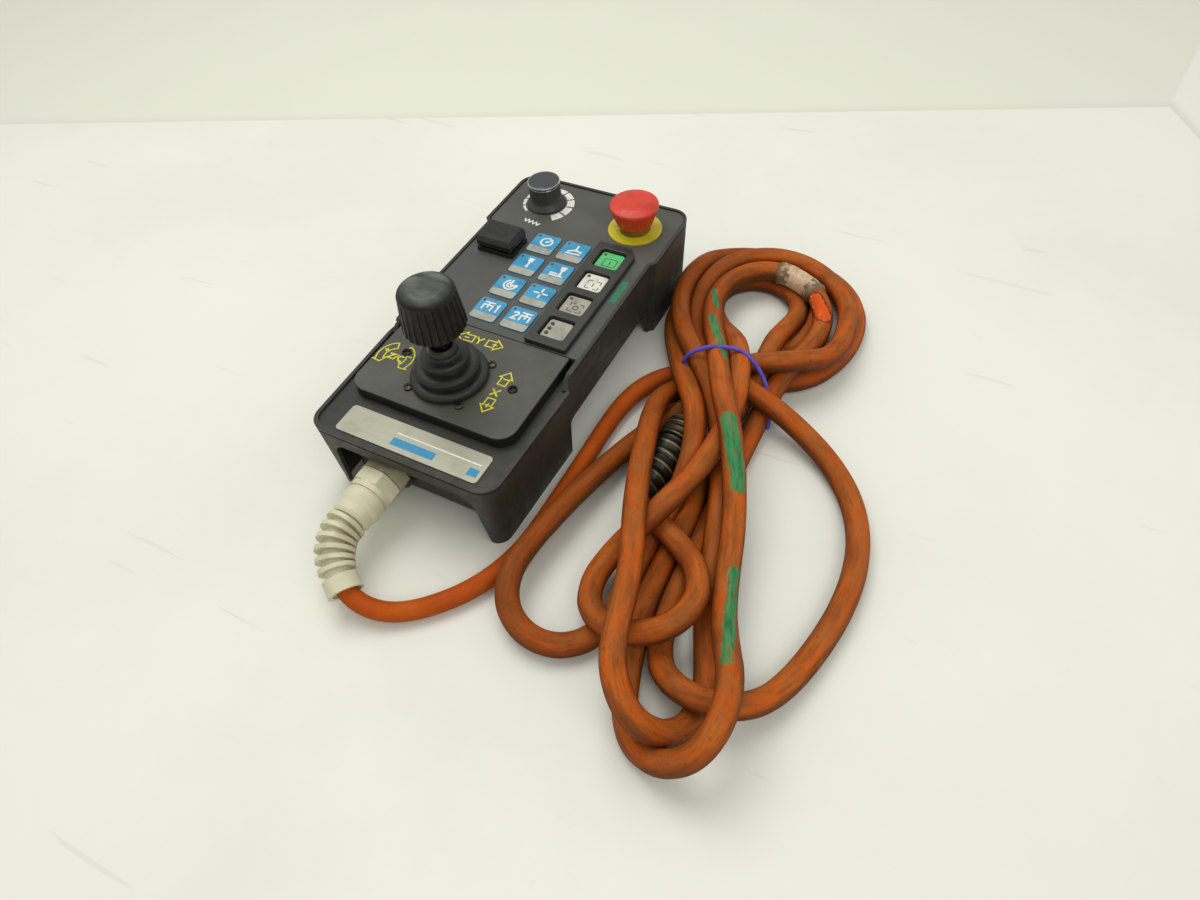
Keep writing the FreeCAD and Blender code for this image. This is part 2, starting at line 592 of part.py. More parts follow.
def build_joystick():
    """Joystick: base with its gimbal, stick, bellows, and a fluted knob that twists on the stick."""
    x, y = "stick_x", "stick_y"
    pivot = size("pivot_height")
    apron = size("deck_top - apron_drop")
    plate_top = size("deck_top - apron_drop + plate_tall")
    a, b = size("plate_wide") / 2, size("plate_deep") / 2
    mid = size("plate_y")
    outer = [(plate_x - a, mid - b, 11), (plate_x + a, mid - b, 11), (plate_x + a, mid + b, 2),
             (plate_x - a, mid + b, 2)]
    holes = [(*stick, PLATE_HOLE / 2)] + [(*place, PLATE_PILOT) for place in stick_screws + plate_screws]
    body = plate("joystick_plate", APRON, "plate_tall", [outer] + holes)
    near = 5
    round_outer_rim(body, plate_top, 1, lambda edge: abs(edge.CenterOfMass.x - plate_x) > a - near
                    or abs(edge.CenterOfMass.y - mid) > b - near)
    group("joystick_screws", [screw(f"stick_screw_{i}", px, py, plate_top, 5.2, 1.6, 3, 9.2)
                              for i, (px, py) in enumerate(stick_screws)])
    group("plate_screws", [screw(f"plate_screw_{i}", px, py, plate_top, 5.6, 1.2, 3, 9.2)
                           for i, (px, py) in enumerate(plate_screws)])
    base = new_body("joystick_base")
    flange, can, can_deep, room, cover = 3, 20, 18, 16, 2
    pin, pin_play, across = 2, 0.05, 60
    side = STICK_OPENING - 0.6
    add_pad(base, apron - flange, flange, [rectangle(*stick, side, side, 2)])
    add_pad(base, apron - flange, can_deep, [(*stick, can)], down=True)
    add_pocket(base, apron, can_deep + 2 * flange,
               [(*stick, room)] + [(*place, PLATE_PILOT) for place in stick_screws])
    bearing = [(stick[1], pivot, pin + pin_play)]
    add_pocket(base, "stick_x", across, bearing, role="YZ_Plane", midplane=True)
    plate("joystick_cover", apron - flange - can_deep - cover, cover, [(*stick, can)])
    # the gimbal ring tilts about X in the base, and the stick tilts about Y in the ring
    ring = new_body("gimbal_ring")
    ring_tall, ring_outer, ring_inner, pin_start, pin_long = 6, 13.5, 10, 12, 6.5
    add_pad(ring, pivot - ring_tall / 2, ring_tall, [(*stick, ring_outer), (*stick, ring_inner)])
    for first in (stick[0] + pin_start, stick[0] - pin_start - pin_long):
        add_pad(ring, first, pin_long, [(stick[1], pivot, pin)], role="YZ_Plane")
    ring_bore = [(stick[0], pivot, pin + pin_play)]
    add_pocket(ring, -stick[1], across, ring_bore, role="XZ_Plane", midplane=True)
    radius = size("stick_dia") / 2
    knob_low, knob_top = size("knob_low"), size("knob_top")
    shaft = new_body("joystick_shaft")
    hub, hub_tall, spigot, spigot_long, axle = 6, 10, 3, 14, 26
    add_pad(shaft, pivot - hub_tall / 2, hub_tall, [(*stick, hub)])
    stem_low = pivot + hub_tall / 2 - 1
    add_pad(shaft, stem_low, knob_low - stem_low, [(*stick, radius)])
    add_pad(shaft, knob_low, spigot_long, [(*stick, spigot)])
    add_pad(shaft, -stick[1] - axle / 2, axle, [(stick[0], pivot, pin)], role="XZ_Plane")
    turned("joystick_boot", x, y, boot_profile(plate_top + 0.02))
    build_knob(knob_low, knob_top)


def boot_profile(low):
    """Bellows wall: a flange, three folds that shrink upwards and a neck on the stick."""
    thick, drop = 1.4, 5.2
    folds = [(22.6, 3.4), (18.6, 9.0), (13.6, 14.8)]
    flange, neck, neck_bore, neck_low, neck_top = 21.5, 6.6, 4.8, 22, 25.5
    outside = [(flange, low), (flange, low + 1.3)]
    for radius, height in folds:
        outside += [(radius, low + height - 1.6, 0.8), (radius, low + height + 1.2, 1.6),
                    (radius - drop, low + height + 2.2, 0.8)]
    outside += [(neck, low + neck_low, 1), (neck, low + neck_top)]
    inside = [(neck_bore, low + neck_top), (neck_bore, low + neck_low - 1.5)]
    for radius, height in reversed(folds):
        inside += [(radius - drop - thick, low + height + 2.2 - thick),
                   (radius - thick, low + height + 1.2 - thick), (radius - thick, low + height - 1.4)]
    return outside + inside + [(flange - thick, low)]


def build_knob(low, top):
    """Tapered knob, wider below, with flutes round its side and a smooth crown."""
    wide, narrow = size("knob_low_dia") / 2, size("knob_top_dia") / 2
    pin, pin_top, floor = 3.05, low + 14.4, low + 0.3
    body = turned("joystick_knob", "stick_x", "stick_y", [
        (pin, floor), (wide - 0.8, floor, 0.6), (wide, floor + 1.1, 0.6), (narrow, top - 2.6, 3),
        (narrow - 5, top, 3),
        (0, top), (0, pin_top), (pin, pin_top)])
    add_flutes(body, low - 1, (wide + 0.65, 1.7), top - 4.4, (narrow + 1.1, 1.5), "knob_flutes")


def build_label():
    loops = [rectangle(size("label_x"), size("label_y"), size("label_wide"), size("label_deep"), 2.5)]
    plate("label_plate", APRON, "film_thick", loops)


def along_cable(label, profile):
    """A turned piece on the gland's axis: heights in the profile run out of the console along -Y."""
    body = turned(label, "gland_x", "0", profile)
    axis_place = Vector(size("gland_x"), 0, size("gland_height"))
    body.Placement = Placement(axis_place, Rotation(Vector(1, 0, 0), 90))
    doc.recompute()
    return body


def build_gland():
    """Cable gland in the tray's front wall: body, lock nut inside, dome nut and bend protection."""
    wall = size("tray_front")
    bore, thread = size("cable_dia") / 2, size("gland_thread_dia") / 2
    across = size("gland_hex")
    corner = across / math.sqrt(3)
    play, squeeze, around = 0.4, 0.1, 20
    hex_low, hex_high = wall + GLAND_BOSS, wall + 14.6
    body = along_cable("gland_body", [
        (bore + play, wall - 9), (thread, wall - 9), (thread, hex_low), (corner, hex_low),
        (corner, hex_high - 0.7),
        (corner - 1.2, hex_high), (thread, hex_high), (thread, wall + 26), (bore + play, wall + 26)])
    add_pocket(body, hex_high, hex_high - hex_low, [(0, 0, around), hexagon(0, 0, across)])
    along_cable("gland_lock_nut",
                [(thread, wall - 8.5), (15, wall - 8.5, 0.8), (15, wall - 2.5), (thread, wall - 2.5)])
    # a second hexagon, a round shoulder with a groove and a taper into the bend protection
    nut_low, nut_high, shoulder, neck, end = wall + 15, wall + 23.6, 12.2, 11, wall + 44
    groove_low, groove_high, thread_end = wall + 27, wall + 28.4, wall + 26.2
    nut = along_cable("gland_nut", [
        (thread, nut_low), (corner - 1.2, nut_low), (corner, nut_low + 0.7), (corner, nut_high - 0.7),
        (corner - 1.2, nut_high), (shoulder, nut_high), (shoulder, groove_low),
        (shoulder - 0.9, groove_low),
        (shoulder - 0.9, groove_high), (shoulder, groove_high), (shoulder, wall + 35, 0.6),
        (neck, wall + 37.4),
        (neck, end - 2, 0.6), (neck - 1.4, end), (bore - squeeze, end), (bore - squeeze, thread_end),
        (thread, thread_end)])
    add_pocket(nut, nut_high, nut_high - nut_low, [(0, 0, around), hexagon(0, 0, across)])


# Cable route from the gland to the tie: out through the bend protection, round a half turn on the floor,
# back along the console and up to the tie
relief_route = [(-16, -157, 26), (-16, -164, 26), (-13.8, -172, 24.6), (-9.6, -179, 22),
                (-3.2, -185, 18.8), (4.6, -189.4, 15)]
lead_route = [(-16, -156, 26)] + relief_route[1:] + [
    (13.2, -190.6, 11.4), (22.4, -188.8, 8.4), (31, -184.4, 6.2), (39.2, -178.4, 5.7),
    (46.4, -171.4, 5.7), (53.2, -163.6, 5.7), (59.2, -154.8, 5.7), (64.6, -144.2, 5.7),
    (69, -131, 5.7), (71.6, -116, 5.7), (72.4, -98, 5.7), (72.6, -74, 5.7), (72.6, -50, 5.7),
    (72.4, -26, 5.7), (73.6, -5, 5.7), (77.6, 11, 5.9), (85.2, 24, 6.1), (96, 33.4, 6.3),
    (109, 38.4, 6.5)]


def arc_path(points):
    """Straight runs joined by tangent arcs, each as large as its two runs allow."""
    corners = [Vector(*p) for p in points]
    edges, radii = [], []
    start = corners[0]
    for before, corner, after in zip(corners, corners[1:], corners[2:]):
        back, ahead = before - corner, after - corner
        reach = 0.45 * min(back.Length, ahead.Length)
        half_turn = (math.pi - back.getAngle(ahead)) / 2
        radii.append(reach / math.tan(half_turn))
        back.normalize()
        ahead.normalize()
        first, last = corner + back * reach, corner + ahead * reach
        inward = (back + ahead).normalize()
        sag = radii[-1] / math.cos(half_turn) - radii[-1]
        edges.append(Part.LineSegment(start, first).toShape())
        edges.append(Part.Arc(first, corner + inward * sag, last).toShape())
        start = last
    edges.append(Part.LineSegment(start, corners[-1]).toShape())
    return Part.Wire(edges), radii


def tube(label, points, dia):
    path, radii = arc_path(points)
    start = Vector(*points[0])
    heading = Vector(*points[1]) - start
    ring = Part.Wire(Part.Circle(start, heading, dia / 2).toShape())
    solid = path.makePipeShell([ring], True, False)
    item = doc.addObject("Part::Feature", label)
    item.Label = label
    item.Shape = solid
    ideal = math.pi * dia ** 2 / 4 * path.Length
    share = solid.Volume / ideal
    print(f"{label}: length {path.Length:.1f} mm, volume {share:.4f} of section times length")
    print("bend radii", [round(r, 1) for r in radii])
    return item, path


def build_bend_relief():
    """Bend protection: a thin sleeve over the cable with spaced rings, ending in an open cup."""
    path, _ = arc_path(relief_route)
    start = Vector(*relief_route[0])
    heading = Vector(*relief_route[1]) - start
    bore = size("cable_dia") / 2

    def pipe(radius):
        return path.makePipeShell([Part.Wire(Part.Circle(start, heading, radius).toShape())], True, False)

    sleeve = pipe(bore + 1.5).cut(pipe(bore - 0.1))
    edges = Part.Wire(Part.__sortEdges__(path.Edges))
    total = edges.Length
    inner = bore + 0.9
    ring_radii = [11.2, 11.1, 11, 10.8, 10.4, 10]
    first, pitch, thick, cup_radius, cup_long = 1.6, 5.2, 2.6, 9.6, 9
    pieces = [ring_on(edges, first + i * pitch, radius, inner, thick)
              for i, radius in enumerate(ring_radii)]
    pieces.append(ring_on(edges, total - cup_long - 0.2, cup_radius, inner, cup_long))
    mouth_deep, mouth = 2.4, bore + 2.2
    solid = sleeve.fuse(pieces).cut(ring_on(edges, total - mouth_deep, mouth, bore - 0.5, mouth_deep + 4))
    item = doc.addObject("Part::Feature", "bend_relief")
    item.Label = "bend_relief"
    item.Shape = solid.removeSplitter().Solids[0]


def ring_on(path, distance, radius, bore, thick):
    """A short ring across the path at a distance along it."""
    passed = 0
    for edge in path.Edges:
        if passed + edge.Length >= distance or edge is path.Edges[-1]:
            at = edge.getParameterByLength(min(distance - passed, edge.Length))
            place, heading = edge.valueAt(at), edge.tangentAt(at)
            break
        passed += edge.Length
    outer = Part.makeCylinder(radius, thick, place, heading)
    return outer.cut(Part.makeCylinder(bore, thick, place, heading))


def build_cable():
    """Cable: a lead on the floor, then a hank of loose loops held by one tie, ending in a connector."""
    dia = size("cable_dia")
    tube("cord_lead", lead_route, dia)
    hank = new_body("cord_hank")
    outline = [(84, 46, 8), (73, 78, 20), (65, 112, 20), (70, 156, 24), (112, 176, 24), (160, 160, 24),
               (196, 126, 24),
               (203, 84, 20), (180, 50, 16), (186, 28, 16), (226, -6, 24), (250, -44, 30), (250, -98, 30),
               (232, -146, 26), (212, -190, 16), (190, -205, 12), (168, -196, 14), (146, -166, 14),
               (112, -184, 16),
               (84, -180, 14), (74, -150, 20), (70, -100, 20), (76, -50, 20), (90, 2, 16)]
    add_pad(hank, "0.4", 25.5, [outline])
    ridge = [(92, 40, 6), (106, 68, 12), (150, 62, 12), (164, 36, 12), (186, -60, 20), (206, -150, 16),
             (196, -190, 12),
             (168, -184, 14), (140, -120, 20), (100, -40, 20)]
    add_pad(hank, "25", 24, [ridge])
    # the connector lies in a gap between the loops
    heading = Vector(0.12, 1, 0)
    connector_place = Placement(Vector(117, -52, 13.4), Rotation(Vector(0, 0, 1), heading))
    gap = [Vector(117, -52, 0) + heading * along + Vector(across, 0, 0)
           for along, across in ((-18, -15), (-18, 15), (42, 15), (42, -15))]
    add_pocket(hank, "27", 27, [[(p.x, p.y) for p in gap]])
    shell = [(0, 0), (11, 0, 0.6), (11, 9), (11.9, 9), (11.9, 24, 0.8), (10, 24), (10, 30), (0, 30)]
    ring = [(10.05, 24.3), (12.9, 24.3, 0.8), (12.9, 40, 0.8), (10.05, 40)]
    back = [(0, -16), (8.6, -16, 1), (9.8, -2), (9.8, 0), (0, 0)]
    profiles = {"connector_shell": shell, "connector_ring": ring, "connector_backshell": back}
    for label, profile in profiles.items():
        body = turned(label, "0", "0", profile)
        body.setExpression("Placement.Base.x", None)
        body.setExpression("Placement.Base.y", None)
        body.Placement = connector_place
    doc.recompute()


def build_tie():
    """Round tie cord about the hank's waist."""
    body = new_body("cord_tie")
    a, b, base = 44, 26, 0.6
    place = Placement(Vector(126, 42, base), Rotation(Vector(0, 0, 1), -16))
    sketch = new_sketch(body, "XZ_Plane", "-1.2")
    draw(sketch, [(-a, 0, 12), (a, 0, 12), (a - 10, 2 * b, 18), (-a + 10, 2 * b, 18)])
    inner = 2.4
    draw(sketch, [(-a + inner, inner, 10), (a - inner, inner, 10), (a - 10 - inner, 2 * b - inner, 16),
                  (-a + 10 + inner, 2 * b - inner, 16)])
    pad = body.newObject("PartDesign::Pad", "cord_tie_pad")
    pad.Profile = sketch
    pad.Length = 2.4
    body.Placement = place
    doc.recompute()


build_console()
build_tray()
group("tray_screws",
      [screw(f"tray_screw_{i}", x, y, f"tray_bottom + {SCREW_HEAD_TALL}", SCREW_HEAD, SCREW_HEAD_TALL,
             2 * TRAY_PILOT, 12, up=False) for i, (x, y) in enumerate(post_places)])
build_film()
build_bezel()
for number, place in enumerate(key_places, start=1):
    build_key(f"key_{number}", place, size("key_wide"), size("key_deep"), "key_rise", "key_cap")
for colour, place in zip(("green", "white", "grey"), function_places):
    build_key(f"function_key_{colour}", place, size("function_wide"), size("function_wide"),
              "function_rise",
              "function_cap")
plate("indicator_plate", "deck_top", "film_thick + indicator_rise",
      [rectangle(*indicator_place, size("function_wide"), size("function_wide"), 2)])
lamp_seat = "deck_top + film_thick + indicator_rise"
lamp_x = indicator_place[0] - 5
group("indicator_lamps", [cylinder(f"lamp_{i}", lamp_x, indicator_place[1] + dy, lamp_seat, 2.4, 0.6)
                          for i, dy in enumerate((4, 0, -4))])
build_keypad_board()
build_main_board()
build_hold_key()
build_stop_button()
build_speed_knob()
build_joystick()
build_label()
build_gland()
build_bend_relief()
build_cable()
build_tie()

NODES = ["top_housing", "bottom_tray", "tray_screws", "keypad_film", "key_bezel"]
NODES += [f"key_{number}" for number in range(1, 9)]
NODES += [f"function_key_{colour}" for colour in ("green", "white", "grey")]
NODES += ["indicator_plate", "indicator_lamps", "keypad_board", "board_standoffs", "board_screws",
          "key_switches",
          "main_board", "board_components", "main_board_screws", "hold_frame", "hold_key", "hold_bracket",
          "hold_switch", "stop_ring", "stop_collar", "stop_nut", "stop_contact_block", "stop_plunger",
          "stop_head",
          "speed_pot", "speed_nut", "speed_shaft", "speed_knob", "speed_cap", "joystick_plate",
          "joystick_screws",
          "plate_screws", "joystick_base", "joystick_cover", "gimbal_ring", "joystick_shaft",
          "joystick_boot",
          "joystick_knob", "label_plate", "gland_body", "gland_lock_nut", "gland_nut", "bend_relief",
          "cord_lead",
          "cord_hank", "cord_tie", "connector_shell", "connector_ring", "connector_backshell"]

doc.recompute()
for item in doc.Objects:
    if "Invalid" in item.State or "Error" in item.State:
        raise ValueError(f"{item.Label} failed: {item.State}")
os.makedirs("parts", exist_ok=True)
for node in NODES:
    found = doc.getObjectsByLabel(node)[0]
    shape = found.Shape
    if shape.isNull() or not shape.isValid():
        raise ValueError(f"{node} has no valid shape")
    shape.exportStep(f"parts/{node}.step")
    print(f"{node}: {len(shape.Solids)} solids, {shape.Volume:.1f} mm3, {shape.BoundBox}")
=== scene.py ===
import itertools
import json
import math
import random

import bmesh
import bpy
from mathutils import Matrix, Vector


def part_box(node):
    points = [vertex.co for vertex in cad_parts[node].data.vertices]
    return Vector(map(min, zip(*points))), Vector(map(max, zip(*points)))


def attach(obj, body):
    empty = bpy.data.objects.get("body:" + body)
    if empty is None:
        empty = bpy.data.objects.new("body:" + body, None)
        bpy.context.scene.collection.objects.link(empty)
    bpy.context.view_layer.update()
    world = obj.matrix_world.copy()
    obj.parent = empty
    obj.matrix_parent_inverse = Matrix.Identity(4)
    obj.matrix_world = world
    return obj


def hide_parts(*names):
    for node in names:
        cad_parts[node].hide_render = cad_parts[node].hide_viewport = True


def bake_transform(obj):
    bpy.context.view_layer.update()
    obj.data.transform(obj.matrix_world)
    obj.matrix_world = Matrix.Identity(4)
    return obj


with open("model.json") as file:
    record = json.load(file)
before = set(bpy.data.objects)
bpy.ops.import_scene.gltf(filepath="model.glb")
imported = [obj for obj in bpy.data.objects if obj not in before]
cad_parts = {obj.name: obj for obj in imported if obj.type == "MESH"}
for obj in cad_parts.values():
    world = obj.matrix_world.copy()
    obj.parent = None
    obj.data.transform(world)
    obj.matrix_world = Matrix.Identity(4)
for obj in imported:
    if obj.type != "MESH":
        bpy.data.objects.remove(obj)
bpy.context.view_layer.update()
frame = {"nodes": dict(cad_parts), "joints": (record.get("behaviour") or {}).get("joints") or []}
nodes = frame["nodes"]
joints = {joint["name"]: joint for joint in frame["joints"]}
scene = bpy.context.scene
scene.view_settings.view_transform = "Standard"
MM = 0.001


# Places of the solids, in millimetres
def axis_of(joint):
    """Where an upright joint stands in plan."""
    return tuple(value / MM for value in joints[joint]["pos_m"][:2])


def middle_of(node):
    """Middle of a node in plan."""
    low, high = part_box(node)
    return tuple((low + high).xy / 2 / MM)


def top_of(node):
    """Height of a node's top."""
    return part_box(node)[1].z / MM


# Camera
PHOTO_WIDTH = 1200
FOCAL_PIXELS = 826.3
SENSOR_WIDTH = 36
eye = Vector((242.9, -306.2, 391.3)) * MM
look_right = Vector((0.88575, 0.45954, -0.06538))
look_up = Vector((-0.32281, 0.71107, 0.62464))
look_back = Vector((0.33354, -0.53217, 0.77817))
camera = bpy.data.objects.new("camera", bpy.data.cameras.new("camera"))
camera.data.sensor_fit = "HORIZONTAL"
camera.data.sensor_width = SENSOR_WIDTH
camera.data.lens = SENSOR_WIDTH * FOCAL_PIXELS / PHOTO_WIDTH
camera.data.clip_start = 10 * MM
look = Matrix((look_right, look_up, look_back)).transposed()
camera.matrix_world = Matrix.Translation(eye) @ look.to_4x4()
scene.collection.objects.link(camera)
scene.camera = camera


# Shaders, with colours as screen values of 0 to 255
# Sockets of a mix node for colours
MIX_SHARE, MIX_FIRST, MIX_SECOND, MIX_RESULT = 0, 6, 7, 2


def srgb(red, green, blue):
    """A screen colour as the linear colour that a shader takes."""
    def linear(value):
        value /= 255
        return value / 12.92 if value <= 0.04045 else ((value + 0.055) / 1.055) ** 2.4
    return (linear(red), linear(green), linear(blue), 1)


class Shade:
    """A principled material, with short calls for the nodes that vary it over the surface."""

    def __init__(self, name, metal=0.0, specular=0.5):
        self.material = bpy.data.materials.new(name)
        self.material.use_nodes = True
        self.tree = self.material.node_tree
        self.shader = self.tree.nodes["Principled BSDF"]
        self.shader.inputs["Metallic"].default_value = metal
        self.shader.inputs["Specular IOR Level"].default_value = specular
        self.place = self.node("TexCoord", {}, "Object")

    def feed(self, socket, value):
        """Gives an input a link from another node or a constant."""
        if isinstance(value, bpy.types.NodeSocket):
            self.tree.links.new(value, socket)
        else:
            socket.default_value = value

    def node(self, kind, inputs, output, **settings):
        """One output of a new node."""
        node = self.tree.nodes.new("ShaderNode" + kind)
        for name, value in settings.items():
            setattr(node, name, value)
        for name, value in inputs.items():
            self.feed(node.inputs[name], value)
        return node.outputs[output]

    def noise(self, scale, detail=4, rough=0.55, stretch=None, distort=0.0, place=None):
        """Cloudy noise over the surface, squeezed by a stretch along each axis."""
        place = place or self.place
        if stretch:
            place = self.node("Mapping", {"Vector": place, "Scale": stretch}, "Vector")
        inputs = {"Vector": place, "Scale": scale, "Detail": detail, "Roughness": rough,
                  "Distortion": distort}
        return self.node("TexNoise", inputs, "Fac")

    def spread(self, value, low, high, to_low=0.0, to_high=1.0):
        """A value between low and high becomes one between to_low and to_high, with soft ends."""
        inputs = {"Value": value, "From Min": low, "From Max": high, "To Min": to_low, "To Max": to_high}
        return self.node("MapRange", inputs, "Result", interpolation_type="SMOOTHSTEP")

    def math(self, operation, first, second=0.0):
        """One sum on numbers."""
        return self.node("Math", {0: first, 1: second}, 0, operation=operation)

    def times(self, first, second):
        """The product of two numbers."""
        return self.math("MULTIPLY", first, second)

    def mix(self, share, first, second):
        """A blend of two colours, each from another node or a screen colour."""
        first, second = [srgb(*tone) if isinstance(tone, tuple) else tone for tone in (first, second)]
        inputs = {MIX_SHARE: share, MIX_FIRST: first, MIX_SECOND: second}
        return self.node("Mix", inputs, MIX_RESULT, data_type="RGBA")

    def vector(self, operation, first, second=None, output="Vector"):
        """One sum on vectors."""
        inputs = {0: first}
        if second is not None:
            inputs["Scale" if operation == "SCALE" else 1] = second
        return self.node("VectorMath", inputs, output, operation=operation)

    def part(self, vector, letter):
        """One part of a vector."""
        return self.node("SeparateXYZ", {0: vector}, letter)

    def axis(self, letter):
        """One part of the place on the object, in metres."""
        return self.part(self.place, letter)

    def facing(self, letter):
        """One part of the surface's own direction."""
        return self.part(self.node("NewGeometry", {}, "Normal"), letter)

    def edges(self, reach):
        """About 0 on flat faces and 1 at edges, for wear that reaches so many millimetres."""
        rounded = self.node("Bevel", {"Radius": reach * MM}, "Normal", samples=4)
        plain = self.node("NewGeometry", {}, "Normal")
        return self.spread(self.vector("DOT_PRODUCT", rounded, plain, "Value"), 0.99, 0.82)

    def near_line(self, first, last):
        """Distance from the straight line between two points, in metres."""
        first, last = Vector(first) * MM, Vector(last) * MM
        along = last - first
        offset = self.vector("SUBTRACT", self.place, first)
        share = self.vector("DOT_PRODUCT", offset, along / along.length_squared, "Value")
        share = self.node("Clamp", {"Value": share}, 0)
        away = self.vector("SUBTRACT", offset, self.vector("SCALE", along, share))
        return self.vector("LENGTH", away, output="Value")

    def on_cord(self, around, along):
        """A cord's share of its length, and a place on it in which noise runs lengthwise without a seam."""
        spot = self.node("TexCoord", {}, "UV")
        share = self.part(spot, "X")
        angle = self.times(self.part(spot, "Y"), 2 * math.pi)
        place = {"X": self.times(self.math("COSINE", angle), around),
                 "Y": self.times(self.math("SINE", angle), around), "Z": self.times(share, along)}
        return share, self.node("CombineXYZ", place, "Vector")

    def colour(self, value):
        """Colour of the surface, from another node."""
        self.feed(self.shader.inputs["Base Color"], value)

    def sheen(self, pattern, low, high):
        """Roughness that follows a noise between two levels."""
        self.feed(self.shader.inputs["Roughness"], self.spread(pattern, 0.3, 0.7, low, high))

    def bump(self, pattern, depth):
        """Relief that follows a noise, with a depth in millimetres."""
        inputs = {"Strength": 1.0, "Distance": depth * MM, "Height": pattern}
        self.feed(self.shader.inputs["Normal"], self.node("Bump", inputs, "Normal"))


def moulded(name, clean, soiled, rough=0.5, grain=1600, depth=0.04, blotch=45, worn=None, metal=0.0,
            specular=0.5, wear_reach=0.6):
    """A moulded, painted or plated surface: soiled in patches, grained, and worn along its edges."""
    shade = Shade(name, metal, specular)
    colour = shade.mix(shade.spread(shade.noise(blotch, 6, 0.62), 0.42, 0.72), clean, soiled)
    if worn:
        chips = shade.times(shade.edges(wear_reach), shade.spread(shade.noise(420, 3), 0.42, 0.6))
        colour = shade.mix(chips, colour, worn)
    shade.colour(colour)
    shade.sheen(shade.noise(blotch * 4, 5), rough - 0.09, rough + 0.11)
    shade.bump(shade.noise(grain, 3, 0.6), depth)
    return shade.material


def wear_steel(name, clean, soiled, rough):
    """Plated metal, finely grained and stained in small patches."""
    return moulded(name, clean, soiled, rough, grain=2600, depth=0.02, blotch=160, metal=0.85)


# Shares of the cable's length between which the clean lead passes into the grimy hank
LEAD_END = (0.09, 0.115)
# Green smears on the cable's upper side: points in millimetres, each with the reach of the line to the next
PAINT_SMEARS = [
    [(93.1, 94.9, 26.9, 2.2), (102.3, 77.3, 30.4, 0)],
    [(104.5, 63.3, 34.3, 3), (115, 45.3, 40.9, 3.4), (124.3, 29.7, 45.8, 2.2), (130.6, 20.2, 47.1, 0)],
    [(150, -24.5, 50, 5.4), (156.4, -35.1, 46.6, 5.6), (163.9, -46.2, 41.8, 5), (169, -55, 37.6, 0)],
    [(184.5, -98.3, 26.6, 3.8), (189.5, -113.6, 27.1, 4.2), (195, -132.4, 34, 3.4), (199.9, -150.5, 41.6, 0)]]
# A stripped patch, as a line with the reach of its dark rim and of its bright middle
BARE_PATCH = ((154.9, 115.2, 24), (166, 102.4, 24))
BARE_RIM = 6.4
BARE_MIDDLE = 5.2


def jacket():
    """Orange cable jacket: a cleaner lead, then brown grime in long streaks, dark scuffs, green paint and
    painted shade beneath.
    """
    shade = Shade("cable_jacket", specular=0.12)
    # The deep brown serves both the dark grime spots and the painted shade beneath the strands.
    brown, deep, black, dust = (116, 62, 22), (82, 46, 20), (48, 36, 24), (168, 102, 46)
    share, lengthwise = shade.on_cord(1.6, 190)
    hank = shade.spread(share, *LEAD_END, 0.16, 1)
    colour = shade.mix(shade.spread(shade.noise(26, 5, 0.6), 0.36, 0.66), (182, 74, 8), (200, 92, 16))
    streaks = shade.spread(shade.noise(1, 6, 0.62, place=lengthwise), 0.38, 0.64, 0, 0.85)
    left_side = shade.spread(shade.axis("X"), 125 * MM, 85 * MM, 0, 0.6)
    dusty = shade.spread(shade.facing("Z"), 0.2, 0.95, 0, 0.62)
    dusty = shade.times(dusty, shade.spread(shade.noise(60, 6, 0.65), 0.36, 0.66, 0.25, 1))
    dusty = shade.times(dusty, shade.spread(shade.axis("X"), 85 * MM, 130 * MM, 0.2, 1))
    # Painted shade: faces that turn downwards are darkened towards the deep brown.
    under = shade.spread(shade.facing("Z"), 0.8, -0.1, 0, 0.75)
    scuffs = shade.spread(shade.noise(4.2, 5, 0.7, distort=0.5, place=lengthwise), 0.6, 0.7, 0, 0.75)
    spots = shade.spread(shade.noise(240, 5, 0.7), 0.6, 0.72, 0, 0.6)
    for cover, reach, tone in (
            (streaks, hank, brown), (left_side, hank, brown), (dusty, hank, dust),
            (under, shade.math("ADD", hank, 0.15), deep), (scuffs, hank, black), (spots, hank, deep)):
        colour = shade.mix(shade.times(cover, reach), colour, tone)
    ragged = shade.spread(shade.noise(330, 4, 0.6), 0.25, 0.75, -0.6 * MM, 0.6 * MM)

    def patch(base, first, last, reach, tone, density=1.0):
        """Colour about a line, out to a reach in millimetres, with a ragged edge."""
        distance = shade.math("ADD", shade.near_line(first, last), ragged)
        cover = shade.spread(distance, reach * MM, reach * 0.72 * MM)
        return shade.mix(shade.times(cover, density), base, tone)

    thicker = shade.spread(shade.noise(2.2, 5, place=lengthwise), 0.4, 0.65)
    green = shade.mix(thicker, (62, 138, 84), (44, 108, 66))
    thin_paint = shade.spread(shade.noise(3, 5, 0.65, place=lengthwise), 0.66, 0.5, 0.35, 1)
    for smear in PAINT_SMEARS:
        for (*first, reach), (*last, _) in zip(smear, smear[1:]):
            colour = patch(colour, first, last, reach, green, thin_paint)
    bright = shade.mix(shade.spread(shade.noise(420, 4), 0.58, 0.68), (214, 84, 22), (222, 176, 140))
    colour = patch(colour, *BARE_PATCH, BARE_RIM, (70, 42, 24))
    shade.colour(patch(colour, *BARE_PATCH, BARE_MIDDLE, bright))
    shade.sheen(shade.noise(140, 5), 0.46, 0.7)
    shade.bump(shade.math("ADD", shade.noise(85, 4, 0.6), shade.times(shade.noise(900, 3), 0.25)), 0.5)
    return shade.material
